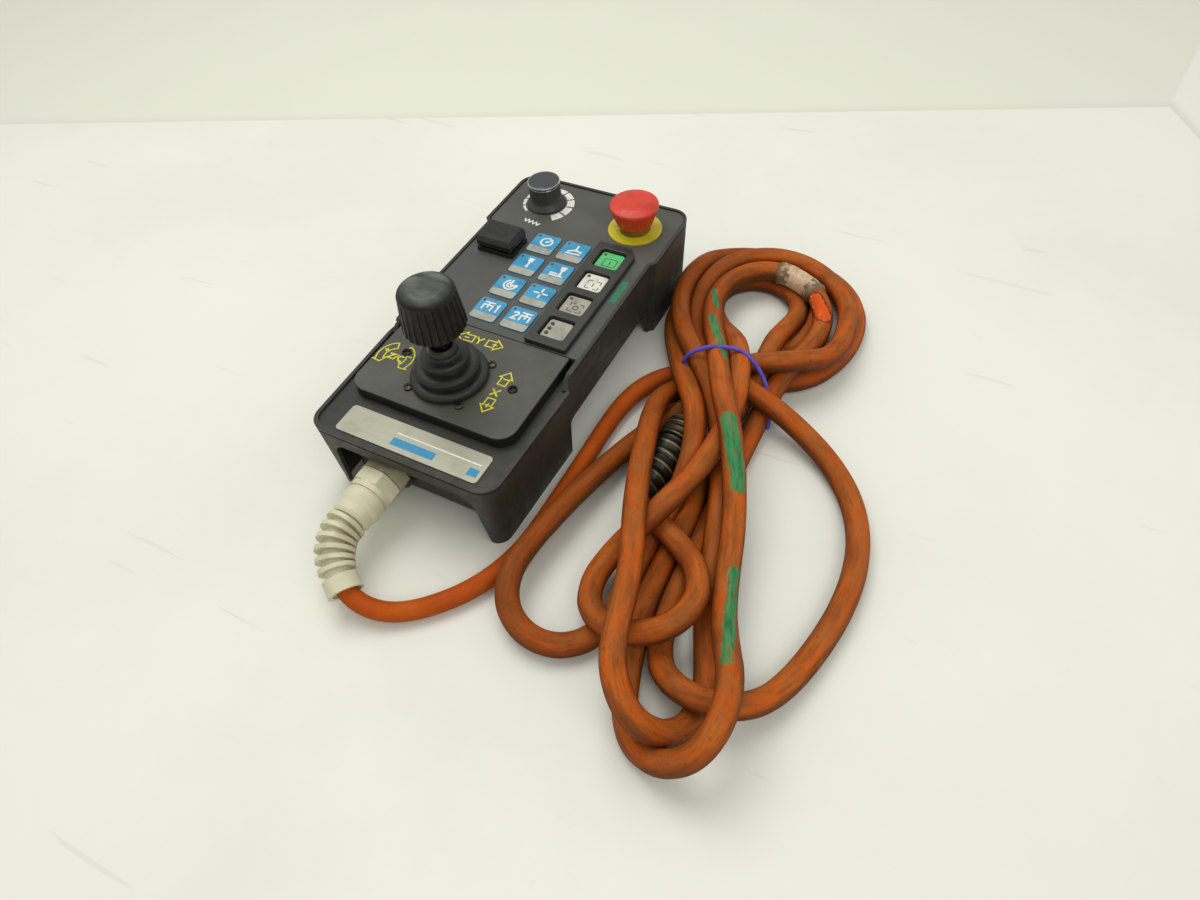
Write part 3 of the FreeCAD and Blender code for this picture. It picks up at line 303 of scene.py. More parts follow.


# Cable: its route, listed stretch by stretch from the console's nose to the plug, in millimetres
lead = [
    (-16, -156, 26), (-16, -164, 26), (-13.8, -172, 24.6), (-9.6, -179, 22), (-3.2, -185, 18.8),
    (4.6, -189.4, 15), (13.2, -190.6, 11.4), (22.4, -188.8, 8.4), (31, -184.4, 6.2), (39.2, -178.4, 5.7),
    (46.4, -171.4, 5.7), (53.2, -163.6, 5.7), (59.2, -154.8, 5.7), (64.6, -144.2, 5.7), (69, -131, 5.7),
    (71.6, -116, 5.7), (72.4, -98, 5.7), (72.6, -74, 5.7), (72.6, -50, 5.7), (72.4, -26, 5.7),
    (73.6, -5, 6.1), (77.6, 11, 6.3), (85.2, 24, 6.5), (96, 33.6, 6.7), (108.8, 45.2, 6.7)]
first_back = [
    (124.4, 54.1, 6.7), (138.6, 63.1, 6.6), (149.4, 74.9, 6.6), (156.5, 90, 6.7), (159.8, 107.4, 6.6),
    (157.3, 125.4, 6.6), (147.4, 140.8, 6.7), (131.8, 150.3, 6.6), (114.4, 152.5, 6.7), (98.6, 147.9, 6.7),
    (86.5, 137.6, 6.7), (78.1, 124.2, 6.6), (72.3, 109.6, 6.7), (70.3, 94.2, 6.6), (72.2, 78, 7),
    (78.9, 61.6, 9.9), (88.6, 44.6, 15.7), (99.5, 26.1, 22.1)]
left_loop = [
    (111.9, 7.3, 29), (125.3, -11.1, 33.3), (133.9, -31.6, 28.6), (136.1, -53, 18.5), (132.9, -73.8, 6.6),
    (132, -96.3, 6.6), (133.2, -118, 7.1), (134.6, -137.9, 6.6), (129.6, -155.3, 6.6), (115.9, -166.2, 7.3),
    (98.9, -167.7, 10.2), (84.3, -159.5, 14.6), (77.2, -143.8, 17.7), (77.5, -124.1, 18.1),
    (80.4, -101.9, 16.7), (84, -77.6, 14), (88.9, -52.2, 10.7), (95.6, -27.3, 8.1), (104.7, -4.4, 6.8),
    (116.5, 15.1, 6.7)]
second_back = [
    (129.3, 31.5, 6.6), (142, 44.5, 6.6), (157, 51.7, 6.6), (170.2, 60.5, 6.7), (179.3, 74.5, 6.6),
    (184.7, 92.2, 6.6), (185.9, 111.3, 6.7), (181.6, 129.9, 6.7), (171.2, 145.9, 6.8), (155.8, 157.4, 6.8),
    (137.2, 164, 6.7), (117.5, 165.6, 6.6), (98.9, 162.3, 6.7), (83.6, 153.5, 8.6), (73.7, 139.3, 13.7),
    (70.2, 120.8, 18.7), (70.3, 100.3, 20.4), (75.1, 80.2, 20.6), (84.7, 61.2, 23.5), (96.4, 43.6, 29.4),
    (110.1, 27.6, 33)]
middle_loop = [
    (125.5, 12.6, 28.2), (138.2, -5.8, 21.1), (148.8, -28.8, 18.8), (158.6, -53.9, 19.8),
    (166.4, -78.6, 16), (172.2, -101.4, 10), (179, -121.6, 7.1), (187.4, -139.5, 6.9), (194, -157, 6.6),
    (192.3, -175.5, 7.7), (182.2, -188.4, 19.5), (168.1, -189.4, 35), (155.3, -176.5, 44.4),
    (148.2, -156.7, 43.1), (143, -135.7, 38.6), (135.6, -114.3, 37.9), (126, -92.4, 39.6), (117, -68.3, 37),
    (108.7, -43.3, 31.4), (101.3, -19.6, 24.8), (97.1, 1.1, 16.9), (100.6, 18.3, 9.3), (112.2, 32.5, 7.6)]
third_back = [
    (126.2, 40.4, 17.4), (140.6, 39.6, 27.8), (156.2, 44.8, 31.8), (169.6, 55, 28.6), (178.4, 68, 22.2),
    (182.4, 82.2, 19.5), (182.2, 97.2, 19.4), (178.7, 115.6, 17.9), (170.6, 132.4, 16.4),
    (157.7, 145.1, 16.4), (141.3, 152.1, 18.3), (123.4, 152.8, 19.8), (106.5, 148.1, 19.6),
    (93, 138.4, 19.1), (84.7, 124.3, 18.3), (81.7, 107.4, 16), (83.3, 89.8, 12.7), (89.4, 72.2, 11.4),
    (98.2, 55.4, 15), (109.6, 40.4, 22.1)]
right_loop = [
    (124.9, 28.6, 26.6), (143.9, 22.1, 25.7), (164, 18.4, 20.2), (184.3, 12.9, 12.9), (204, 2.4, 8.1),
    (220.8, -14.4, 6.6), (232.4, -36, 6.7), (237.9, -60.5, 6.7), (237.8, -85.5, 6.7), (233.8, -109.5, 6.6),
    (227.8, -131.7, 7.5), (219.4, -150.5, 12), (205.2, -162.5, 18.5), (186.4, -164.7, 19.2),
    (170.7, -156.9, 12.4), (162.6, -141.2, 7.5), (159.3, -121.9, 6.6), (158.2, -100.6, 6.7),
    (157.9, -77.6, 6.6), (156.7, -53.6, 6.6), (155.4, -30.1, 6.7), (155, -7.8, 6.6), (155, 12.7, 7.2)]
fourth_back = [
    (155.9, 30.6, 12), (158.2, 46, 18.9), (162.1, 62, 19.7), (166.1, 78.9, 17), (167.2, 96.3, 17),
    (162.8, 112.6, 19.2), (152.4, 126.1, 19.8), (138.1, 135, 19.8), (122.4, 137.8, 19.6), (108, 133.3, 19),
    (98, 122.2, 18.4), (94.1, 106.8, 19.1), (95.7, 89.3, 21.5), (101.9, 71.1, 25.3), (110.5, 52.6, 31.1),
    (119.9, 34.4, 38.2)]
top_loop = [
    (128.5, 15.1, 42.9), (138.1, -3.9, 45.1), (149.5, -21.6, 44.6), (159.3, -38.8, 38.4),
    (167.6, -56.8, 30.6), (175, -76.7, 24.6), (180.6, -98, 20.6), (187, -119.1, 21.7),
    (195.5, -137.9, 29.1), (204.7, -155.4, 38), (209.1, -175.5, 39.1), (203.8, -192.1, 28.7),
    (190, -198, 14.8), (173.7, -193.8, 7.2), (162.2, -181.2, 6.6), (156.5, -165.8, 6.8),
    (151.7, -149.4, 6.7), (147.5, -131.4, 6.7), (145.4, -111.1, 6.8), (145.2, -88.7, 6.7),
    (145.2, -63.9, 6.6), (140.9, -38, 6.6), (139.3, -11.7, 6.7), (140.4, 13.4, 9.8)]
fifth_back = [
    (144.8, 35.9, 16.6), (144.5, 56.3, 20.7), (143.7, 74.6, 19.4), (145.6, 92, 14.7), (147.6, 109.8, 10.1),
    (142.4, 127.9, 7.2), (125.3, 139.8, 6.6), (102.9, 136.6, 6.7), (89.2, 118.6, 6.6), (92.4, 97.1, 6.6),
    (104.9, 79.5, 11.3), (117.9, 63.4, 21.6), (128.1, 46.6, 34.2), (137, 28, 39.8)]
last_fold = [
    (143.6, 8.2, 35.7), (145.9, -13.3, 31.7), (145.6, -36.1, 32.3), (143.3, -58.6, 34.5), (137.5, -79, 34),
    (128.6, -94.8, 25.7), (119.7, -108.3, 14.7), (116.6, -127.2, 11.8), (125.6, -145.8, 17.6),
    (146.2, -152.8, 23.8), (166.4, -142.9, 27.1), (174.4, -122.6, 26.1), (167.1, -103.5, 22.6),
    (150.7, -90.7, 19.8), (131.7, -81.8, 19), (117.5, -74, 13.5), (115.3, -66, 13.4)]
cable_route = (lead + first_back + left_loop + second_back + middle_loop + third_back + right_loop
               + fourth_back + top_loop + fifth_back + last_fold)
CABLE_DIA = 13
LEAD_DIA = 11
# The lead is the thinner part of the cable, and widens where it goes in among the loops
THIN = LEAD_DIA / CABLE_DIA
WIDENING = 5
cable_widths = [THIN] * (len(lead) - WIDENING)
cable_widths += [THIN + (1 - THIN) * (k + 1) / WIDENING for k in range(WIDENING)]
cable_widths += [1.0] * (len(cable_route) - len(lead))


def smooth_line(name, points, widths=None):
    """A curve object of one smooth spline with these control points, and any share of its width at each."""
    curve = bpy.data.curves.new(name, "CURVE")
    curve.dimensions = "3D"
    spline = curve.splines.new("NURBS")
    spline.points.add(len(points) - 1)
    for i, place in enumerate(points):
        spline.points[i].co = (*(Vector(place) * MM), 1)
        if widths:
            spline.points[i].radius = widths[i]
    spline.order_u = 3
    spline.use_endpoint_u = True
    spline.resolution_u = 8
    item = bpy.data.objects.new(name, curve)
    scene.collection.objects.link(item)
    return item


def read_line(points):
    """Points along the smooth spline of a route, in metres, with their distances from its start."""
    plain = smooth_line("plain_line", points)
    mesh = bpy.data.meshes.new_from_object(plain)
    places = [vertex.co.copy() for vertex in mesh.vertices]
    bpy.data.objects.remove(plain)
    bpy.data.meshes.remove(mesh)
    distances = [0.0]
    for before, after in zip(places, places[1:]):
        distances.append(distances[-1] + (after - before).length)
    return places, distances


cable_places, cable_distances = read_line(cable_route)
cable = smooth_line("cable", cable_route, cable_widths)
cable.data.bevel_depth = CABLE_DIA / 2 * MM
cable.data.bevel_resolution = 5
cable.data.use_fill_caps = True
cable.data.materials.append(jacket())
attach(cable, "console")
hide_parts("cord_lead", "cord_hank")


# Meshes
def add_mesh(name, build, materials, body="console", smooth=False, replaces=()):
    """A piece built in a bmesh, placed in the model's own frame and riding on a body."""
    mesh = bpy.data.meshes.new(name)
    work = bmesh.new()
    build(work)
    bmesh.ops.recalc_face_normals(work, faces=work.faces)
    work.to_mesh(mesh)
    work.free()
    for material in materials:
        mesh.materials.append(material)
    if smooth:
        mesh.polygons.foreach_set("use_smooth", [True] * len(mesh.polygons))
    item = bpy.data.objects.new(name, mesh)
    scene.collection.objects.link(item)
    if body:
        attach(item, body)
    if replaces:
        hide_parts(*replaces)
    return item


def rings_mesh(work, rings, closed_path=False):
    """Skins rings of equal length, one after the other, as a loop or with closed ends."""
    loops = [[work.verts.new(place) for place in ring] for ring in rings]
    count = len(loops[0])
    pairs = list(zip(loops, loops[1:]))
    if closed_path:
        pairs.append((loops[-1], loops[0]))
    for before, after in pairs:
        for i in range(count):
            work.faces.new((before[i], before[(i + 1) % count], after[(i + 1) % count], after[i]))
    if not closed_path:
        work.faces.new(loops[0])
        work.faces.new(loops[-1])


def lathe(profile, centre, turns=96):
    """A closed profile of (radius, height) millimetres swept round an upright axis."""
    def build(work):
        rings = []
        for i in range(turns):
            angle = 2 * math.pi * i / turns
            ahead = Vector((math.cos(angle), math.sin(angle), 0))
            rings.append([(Vector((*centre, z)) + ahead * r) * MM for r, z in profile])
        rings_mesh(work, rings, closed_path=True)
    return build


def eased(a, b, c, d, t):
    """A number on a smooth curve from b to c, which follow a and come before d."""
    slope, bend, twist = c - a, 2 * a - 5 * b + 4 * c - d, 3 * b - a - 3 * c + d
    return 0.5 * (2 * b + slope * t + bend * t ** 2 + twist * t ** 3)


def rounded(points, steps=4):
    """Points on a curve that passes smoothly through the given ones."""
    out = []
    last = len(points) - 1
    for i in range(last):
        near = (points[max(i - 1, 0)], points[i], points[i + 1], points[min(i + 2, last)])
        out += [tuple(eased(*values, k / steps) for values in zip(*near)) for k in range(steps)]
    return out + [points[-1]]


def tube_rings(places, radius, sides):
    """Rings across a line of places, each turned as little as possible from the one before."""
    rings = []
    side = None
    for i, place in enumerate(places):
        ahead = (places[min(i + 1, len(places) - 1)] - places[max(i - 1, 0)]).normalized()
        if side is None:
            side = ahead.orthogonal().normalized()
        side = (side - ahead * side.dot(ahead)).normalized()
        other = ahead.cross(side)
        share = i / (len(places) - 1)
        ring = []
        for k in range(sides):
            angle = 2 * math.pi * k / sides
            reach = radius(share, angle) if callable(radius) else radius
            ring.append(place + (side * math.cos(angle) + other * math.sin(angle)) * reach)
        rings.append(ring)
    return rings


def along(start, end):
    """The cable's places between two distances from its start, in millimetres."""
    return [place for place, distance in zip(cable_places, cable_distances)
            if start * MM <= distance <= end * MM]


# Materials of the solids
def paint(names, material):
    """Gives nodes a material."""
    for name in names.split():
        nodes[name].data.materials.clear()
        nodes[name].data.materials.append(material)


paint("top_housing", moulded(
    "console_plastic", (44, 46, 38), (56, 57, 47), 0.5, grain=1500, depth=0.05, blotch=30, worn=(88, 86, 78),
    specular=0.4))
paint("bottom_tray", moulded("tray_plastic", (38, 38, 38), (50, 48, 45), 0.55))
paint("key_bezel", moulded("bezel_plastic", (38, 39, 33), (50, 49, 41), 0.42, worn=(88, 86, 78)))
paint("hold_frame hold_key", moulded("hold_plastic", (17, 17, 15), (28, 27, 24), 0.32, worn=(76, 74, 68)))
paint("speed_knob", moulded("knob_plastic", (50, 52, 53), (66, 66, 64), 0.42, worn=(104, 104, 100)))
paint("speed_cap", moulded("cap_plastic", (56, 58, 58), (72, 72, 70), 0.4, worn=(110, 110, 108)))
paint("function_key_white", moulded(
    "white_key", (226, 227, 214), (190, 188, 170), 0.38, blotch=90, worn=(120, 116, 102)))
paint("function_key_grey indicator_plate", moulded(
    "grey_key", (168, 167, 150), (138, 136, 118), 0.42, blotch=90, worn=(90, 88, 78)))
paint("function_key_green", moulded(
    "green_key", (88, 196, 116), (70, 160, 96), 0.36, blotch=90, worn=(60, 110, 74)))
paint("key_1 key_2 key_3 key_4 key_5 key_6 key_7 key_8", moulded(
    "blue_key", (56, 154, 196), (43, 126, 168), 0.4, blotch=110, worn=(96, 160, 196)))
paint("stop_plunger stop_head", moulded(
    "stop_red", (212, 56, 28), (176, 42, 24), 0.42, blotch=70, worn=(226, 112, 84)))
paint("stop_collar", moulded("collar_amber", (120, 92, 26), (82, 62, 24), 0.45, blotch=120))
paint("stop_ring", moulded("stop_yellow", (208, 194, 30), (176, 160, 28), 0.48, blotch=90))
paint("keypad_board main_board", moulded("board_green", (30, 92, 56), (24, 74, 46), 0.4, blotch=150))
paint("key_switches board_components hold_switch stop_contact_block joystick_base joystick_cover",
      moulded("part_black", (34, 34, 34), (46, 46, 44), 0.5))
paint("board_standoffs", moulded("post_grey", (98, 98, 96), (80, 80, 78), 0.5))
paint("indicator_lamps", moulded("lamp_brown", (88, 54, 44), (66, 42, 36), 0.3, blotch=300))
paint("gland_lock_nut gland_nut bend_relief", moulded(
    "gland_grey", (214, 210, 178), (190, 184, 148), 0.5, blotch=40, worn=(160, 152, 118), wear_reach=0.7))
paint("gland_body", moulded(
    "gland_soiled", (176, 168, 134), (128, 118, 88), 0.5, blotch=70, worn=(104, 96, 72), wear_reach=0.9))
paint("board_screws main_board_screws hold_bracket stop_nut speed_pot speed_nut speed_shaft gimbal_ring",
      wear_steel("plated_steel", (168, 166, 158), (110, 106, 98), 0.34))
dark_steel = wear_steel("blackened_steel", (40, 39, 37), (58, 54, 48), 0.42)
paint("tray_screws joystick_screws plate_screws joystick_shaft", dark_steel)
bright_metal = wear_steel("bright_metal", (214, 212, 204), (170, 168, 160), 0.22)
worn_brass = wear_steel("worn_brass", (88, 80, 62), (54, 49, 40), 0.42)
rubber = moulded("bellows_rubber", (28, 29, 25), (42, 42, 36), 0.44, grain=1100, depth=0.06, blotch=70)
key_band = moulded("key_band", (172, 170, 154), (140, 137, 120), 0.46, blotch=130)
# The way the plug points
PLUG_AXIS = Vector(joints["plug_ring_turn"]["axis"]).normalized()


def ribbed_metal(name, valley, ridge, pitch, metal):
    """Plated metal with fine rings across the plug's axis, bright on their crests."""
    shade = Shade(name, metal)
    lengthwise = shade.vector("DOT_PRODUCT", shade.place, PLUG_AXIS, "Value")
    wave = shade.math("SINE", shade.times(lengthwise, 2 * math.pi / (pitch * MM)))
    crest = shade.times(shade.spread(wave, 0.72, 0.98), shade.spread(shade.noise(160, 4), 0.35, 0.6))
    shade.colour(shade.mix(crest, valley, ridge))
    shade.sheen(shade.noise(200, 4), 0.34, 0.52)
    shade.bump(wave, 0.4)
    return shade.material


paint("connector_shell connector_backshell",
      ribbed_metal("plug_dark", (36, 34, 26), (142, 126, 82), pitch=7, metal=0.4))
paint("connector_ring", ribbed_metal("plug_brass", (58, 50, 34), (140, 120, 76), pitch=4.4, metal=0.6))


def film_surface(name, clean, dusty, sides=None):
    """Printed film: a fine leather grain under a dull coat, dusty in wide patches and scratched, with steep
    faces in a painted dark shade when a side tone is given.
    """
    shade = Shade(name, specular=0.4)
    colour = shade.mix(shade.spread(shade.noise(18, 6, 0.6), 0.4, 0.75), clean, dusty)
    specks = shade.spread(shade.noise(1400, 2, 0.5), 0.66, 0.74, 0, 0.35)
    scratches = shade.spread(shade.noise(60, 3, 0.5, stretch=(1, 26, 1)), 0.68, 0.74, 0, 0.3)
    colour = shade.mix(specks, colour, (120, 119, 110))
    colour = shade.mix(scratches, colour, (112, 111, 104))
    # Painted shade: steep faces, such as the plate's edges, take the near-black side tone.
    if sides:
        colour = shade.mix(shade.spread(shade.facing("Z"), 0.55, 0.9), sides, colour)
    shade.colour(colour)
    shade.sheen(shade.noise(90, 5), 0.4, 0.56)
    shade.bump(shade.noise(2400, 3, 0.6), 0.04)
    return shade.material


def label_surface():
    """Label plate: fine brushing along its length under a yellowed clear coat, with a few stains."""
    shade = Shade("label_metal", metal=0.35)
    brushed = shade.noise(70, 4, 0.6, stretch=(1, 40, 1))
    colour = shade.mix(shade.spread(brushed, 0.35, 0.65), (160, 160, 141), (176, 175, 154))
    stains = shade.spread(shade.noise(40, 6, 0.65), 0.52, 0.74, 0, 0.5)
    shade.colour(shade.mix(stains, colour, (132, 128, 104)))
    shade.sheen(brushed, 0.34, 0.5)
    shade.bump(brushed, 0.03)
    return shade.material


def knob_grip():
    """Joystick grip: dark all over, with a pale crown that is partly rubbed by hands and partly a painted
    sheen.
    """
    shade = Shade("knob_grip", specular=0.3)
    base = shade.mix(shade.spread(shade.noise(60, 5), 0.4, 0.7), (15, 15, 13), (24, 24, 22))
    # Partly painted sheen: the top of the crown takes a pale tone, along with the rub of hands.
    top = top_of("joystick_knob")
    crown = shade.spread(shade.axis("Z"), (top - 2.5) * MM, (top - 0.2) * MM)
    smudges = shade.noise(46, 4, 0.5, stretch=(1, 2.6, 1), distort=0.4)
    rubbed = shade.times(crown, shade.spread(smudges, 0.3, 0.72, 0.15, 1))
    colour = shade.mix(rubbed, base, (100, 105, 93))
    chips = shade.times(shade.edges(0.6), shade.spread(shade.noise(300, 3), 0.36, 0.6, 0, 0.7))
    shade.colour(shade.mix(chips, colour, (84, 84, 78)))
    shade.sheen(shade.noise(220, 5), 0.36, 0.54)
    shade.bump(shade.noise(1300, 3), 0.04)
    return shade.material


paint("keypad_film", film_surface("keypad_film", (74, 75, 69), (88, 89, 81)))
# The plate's edges are painted near-black as shade.
paint("joystick_plate", film_surface("plate_film", (71, 73, 64), (85, 86, 75), sides=(20, 20, 17)))
paint("label_plate", label_surface())
paint("joystick_knob", knob_grip())

# Softened edges that catch the light, as a width in millimetres
EDGE_ROUNDS = {"top_housing": 0.45, "bottom_tray": 0.4, "key_bezel": 0.35, "hold_frame": 0.3, "hold_key": 0.5,
               "label_plate": 0.15, "stop_ring": 0.15, "indicator_plate": 0.2}
EDGE_ROUNDS.update({f"function_key_{tone}": 0.25 for tone in ("green", "white", "grey")})
EDGE_ROUNDS.update({f"key_{i}": 0.25 for i in range(1, 9)})
for name, wide in EDGE_ROUNDS.items():
    rounding = nodes[name].modifiers.new("edge_round", "BEVEL")
    rounding.width = wide * MM
    rounding.segments = 2
    rounding.limit_method = "ANGLE"
    rounding.angle_limit = math.radians(40)
    rounding.use_clamp_overlap = False


# Bellows: one piece for the lower folds, one for the upper folds
STICK_AXIS = axis_of("stick_twist")
# Outside of the folds as (radius, height)
bellows_low = [
    (21.2, 58.24), (22.1, 58.9), (22.5, 60.2), (22.4, 61.8), (21.6, 63.1), (19.8, 63.8), (17.4, 64.2),
    (16.4, 64.9), (16.8, 65.7), (18.2, 66.4), (18.9, 67.6), (18.9, 69), (18.1, 70.2)]
bellows_high = [
    (18.1, 70.2), (16.4, 70.9), (13.6, 71.2), (12.2, 71.8), (12.4, 72.7), (13.6, 73.4), (14.2, 74.6),
    (14, 76), (12.8, 77.1), (10.6, 77.6), (8.8, 78.3), (8.4, 79.3), (8.6, 80.4), (8.2, 81.8), (7, 83.6)]


def bellows(name, outside):
    """A thin folded wall round the stick, from one height to another."""
    wall, shaft_room, drop = 1.3, 4.7, 0.5
    outer = rounded(outside)
    inner = [(max(r - wall, shaft_room), z - (drop if i else 0)) for i, (r, z) in enumerate(outer)]
    piece = add_mesh(name, lathe(outer + inner[::-1], STICK_AXIS), [rubber], None, smooth=True)
    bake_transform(piece)
    return piece


low_bellows = bellows("bellows_lower", bellows_low)
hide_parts("joystick_boot")
bellows("bellows_upper", bellows_high)


# Printed marks: thin solid shapes on the faces that carry them
PRINT = 0.06
# Each stroke that crosses others lies this much higher than the one before, so no two faces coincide
LAYER = 0.003
LINE = 0.82
LETTER = 1.05
MITRE_LIMIT = 0.35
# Heights of the faces that carry print
PLATE_TOP = top_of("joystick_plate")
FILM_TOP = top_of("keypad_film")
LABEL_TOP = top_of("label_plate")
KEY_TOP = top_of("key_1")
FUNCTION_TOP = top_of("function_key_green")
# Windows of the keys' small lamps stand a little higher than the print
WINDOW = 0.1


def prism(work, outline, low, slot=0, tall=PRINT):
    """A flat shape with an outline in plan, standing on a height."""
    bottom = [work.verts.new(Vector((x, y, low)) * MM) for x, y in outline]
    top = [work.verts.new(Vector((x, y, low + tall)) * MM) for x, y in outline]
    faces = [work.faces.new(bottom[::-1]), work.faces.new(top)]
    for i in range(len(outline)):
        j = (i + 1) % len(outline)
        faces.append(work.faces.new((bottom[i], bottom[j], top[j], top[i])))
    for face in faces:
        face.material_index = slot


def stroke(work, points, width, low, slot=0, closed=False, tall=PRINT):
    """A drawn line of one width with mitred corners. A closed one has the piece's first material."""
    places = [Vector(point) for point in points]
    count = len(places)
    ahead = [(places[(i + 1) % count] - places[i]).normalized() for i in range(count)]
    lefts, rights = [], []
    for i, here in enumerate(places):
        way_in = ahead[i - 1] if closed or i else ahead[0]
        way_out = ahead[i] if closed or i < count - 1 else way_in
        normal = Vector((-(way_in.y + way_out.y), way_in.x + way_out.x)).normalized()
        flat = Vector((-way_in.y, way_in.x))
        reach = width / 2 / max(normal.dot(flat), MITRE_LIMIT)
        lefts.append(here + normal * reach)
        rights.append(here - normal * reach)
    if not closed:
        prism(work, lefts + rights[::-1], low, slot, tall)
        return
    rings = []
    for left, right in zip(lefts, rights):
        corners = ((left, low), (right, low), (right, low + tall), (left, low + tall))
        rings.append([Vector((*place, height)) * MM for place, height in corners])
    rings_mesh(work, rings, closed_path=True)


def on_circle(x, y, radius, degrees):
    """The point of a circle in one direction."""
    angle = math.radians(degrees)
    return (x + radius * math.cos(angle), y + radius * math.sin(angle))


def disc(x, y, radius, sides=20):
    """Outline of a round spot."""
    return [on_circle(x, y, radius, 360 * i / sides) for i in range(sides)]


def arc(x, y, radius, first, last, steps=10):
    """Points along a circle between two directions."""
    return [on_circle(x, y, radius, first + (last - first) * i / steps) for i in range(steps + 1)]


def box(left, right, front, back):
    """Corners of a box in plan."""
    return [(left, front), (right, front), (right, back), (left, back)]


def round_box(x, y, wide, deep, radius, corners=(1, 1, 1, 1)):
    """A box in plan with chosen corners rounded, from the front right one round to the front left."""
    a, b = wide / 2, deep / 2
    out = []
    places = [(a, -b, -90), (a, b, 0), (-a, b, 90), (-a, -b, 180)]
    for (dx, dy, first), on in zip(places, corners):
        if on:
            cx, cy = x + dx - math.copysign(radius, dx), y + dy - math.copysign(radius, dy)
            out += arc(cx, cy, radius, first, first + 90, 4)
        else:
            out.append((x + dx, y + dy))
    return out


def ink(name, colour, faded):
    """Printing ink, thin and broken where it has been rubbed."""
    shade = Shade(name, specular=0.35)
    shade.colour(shade.mix(shade.spread(shade.noise(330, 5, 0.65), 0.44, 0.72), colour, faded))
    shade.sheen(shade.noise(200, 4), 0.42, 0.6)
    shade.bump(shade.noise(1800, 3), 0.02)
    return shade.material


yellow_ink = ink("yellow_ink", (222, 214, 44), (186, 178, 48))
white_ink = ink("white_ink", (232, 232, 220), (204, 203, 188))
black_ink = ink("black_ink", (46, 46, 42), (70, 69, 62))
blue_ink = ink("blue_ink", (50, 142, 186), (70, 148, 180))
green_ink = ink("green_ink", (44, 122, 88), (36, 96, 72))
brown_ink = ink("brown_ink", (92, 58, 44), (70, 46, 36))
ARROW_WIDE = 5.8


def arrow(tip, ahead, long):
    """Outline of a block arrow that starts at its tip, with its head a little wider than its shaft."""
    ahead = Vector(ahead).normalized()
    side = Vector((-ahead.y, ahead.x))
    head, barb, shaft = 0.46 * long, ARROW_WIDE / 2 + 1.2, ARROW_WIDE / 2 - 0.4
    steps = [(0, 0), (head, barb), (head, shaft), (long, shaft),
             (long, -shaft), (head, -shaft), (head, -barb)]
    return [tuple(Vector(tip) - ahead * back + side * across) for back, across in steps]


def plate_print(work):
    """Axis arrows with their signs and letters round the joystick."""
    layers = itertools.count()

    def line(points, closed=False, wide=LINE):
        stroke(work, points, wide, PLATE_TOP, closed=closed, tall=PRINT + LAYER * next(layers))

    # Behind the stick: arrow with minus, letter, arrow with plus
    line(arrow((-16.8, -35.4), (-1, -0.05), 10.6), True)
    line([(-12.6, -35.2), (-9.4, -35)])
    line([(-4.9, -32.2), (-2.6, -34.8), (-0.3, -32)], wide=LETTER)
    line([(-2.6, -34.8), (-2.5, -37.6)], wide=LETTER)
    line(arrow((13.2, -34), (1, 0.05), 10.6), True)
    line([(6.4, -34.4), (9.6, -34.2)])
    line([(8, -32.8), (8, -35.8)])
    # On its right: arrow with minus, letter, arrow with plus
    line(arrow((28.4, -49.8), (0.02, 1), 10.4), True)
    line([(26.9, -55.4), (30.1, -55.4)])
    line([(25.6, -64), (30.6, -68.6)], wide=LETTER)
    line([(30.4, -63.6), (26, -69)], wide=LETTER)
    line(arrow((29.2, -81.4), (0.02, -1), 10.4), True)
    line([(27.6, -76.2), (30.8, -76.2)])
    line([(29.2, -74.6), (29.2, -77.8)])
    # On its left: two arrows bent round a middle, with plus and minus, and two letters with a slash between
    middle, outside, inside, barb, head = (-41, -66.4), 11.6, 7, 1.6, 16
    for first, last, way in ((112, 206, 1), (68, -26, -1)):
        outer, inner = arc(*middle, outside, first, last), arc(*middle, inside, first, last)
        barbs = [on_circle(*middle, radius, last) for radius in (outside + barb, inside - barb)]
        tip = on_circle(*middle, (outside + inside) / 2, last + way * head)
        line(outer + [barbs[0], tip, barbs[1]] + inner[::-1], True)
    line([(-50.6, -63), (-47.4, -63)])
    line([(-49, -61.4), (-49, -64.6)])
    line([(-34.6, -63), (-31.4, -63)])
    line([(-45.4, -64.6), (-42, -64.4), (-45.8, -68.2), (-42.2, -68)], wide=LETTER)
    line([(-41.6, -68.6), (-39.4, -64)], wide=LETTER)
    line(arc(-36.6, -66.2, 2, 55, 305), wide=LETTER)


add_mesh("axis_print", plate_print, [yellow_ink])
SPEED_AXIS = axis_of("speed_turn")


def speed_print(work):
    """Scale of blocks that widen clockwise round the speed knob, and a zigzag mark."""
    parts, steps, inner = 10, 4, 14.4
    start, turn, gap = 236, 29, 4
    narrowest, widening = 1.4, 0.48
    for i in range(parts):
        first, last = start - i * turn, start - (i + 1) * turn + gap
        rim = []
        for share in (k / steps for k in range(steps + 1)):
            reach = inner + narrowest + widening * (i + share)
            rim.append(on_circle(*SPEED_AXIS, reach, first + (last - first) * share))
        prism(work, arc(*SPEED_AXIS, inner, first, last, steps)[::-1] + rim, FILM_TOP)
    x, y, line = -38.6, 79.6, 0.95
    corners, pitch, drop, tall = 9, 1.55, 0.22, 2.6
    zigzag = [(x + pitch * i, y - drop * i - tall * (i % 2)) for i in range(corners)]
    stroke(work, zigzag, line, FILM_TOP)


def film_patch(work):
    """A plain green field beside the function keys."""
    prism(work, box(left=51.3, right=55.9, front=26.2, back=46.8), FILM_TOP)


def label_print(work):
    """Plain bands and a hairline on the label plate."""
    front, back, hairline, line = -117.6, -112.6, -109.4, 0.9
    for left, right in ((-9.4, 18.8), (40.4, 46.6)):
        prism(work, box(left, right, front, back), LABEL_TOP, 0)
    stroke(work, [(-9.4, hairline), (45.4, hairline)], line, LABEL_TOP, 1)


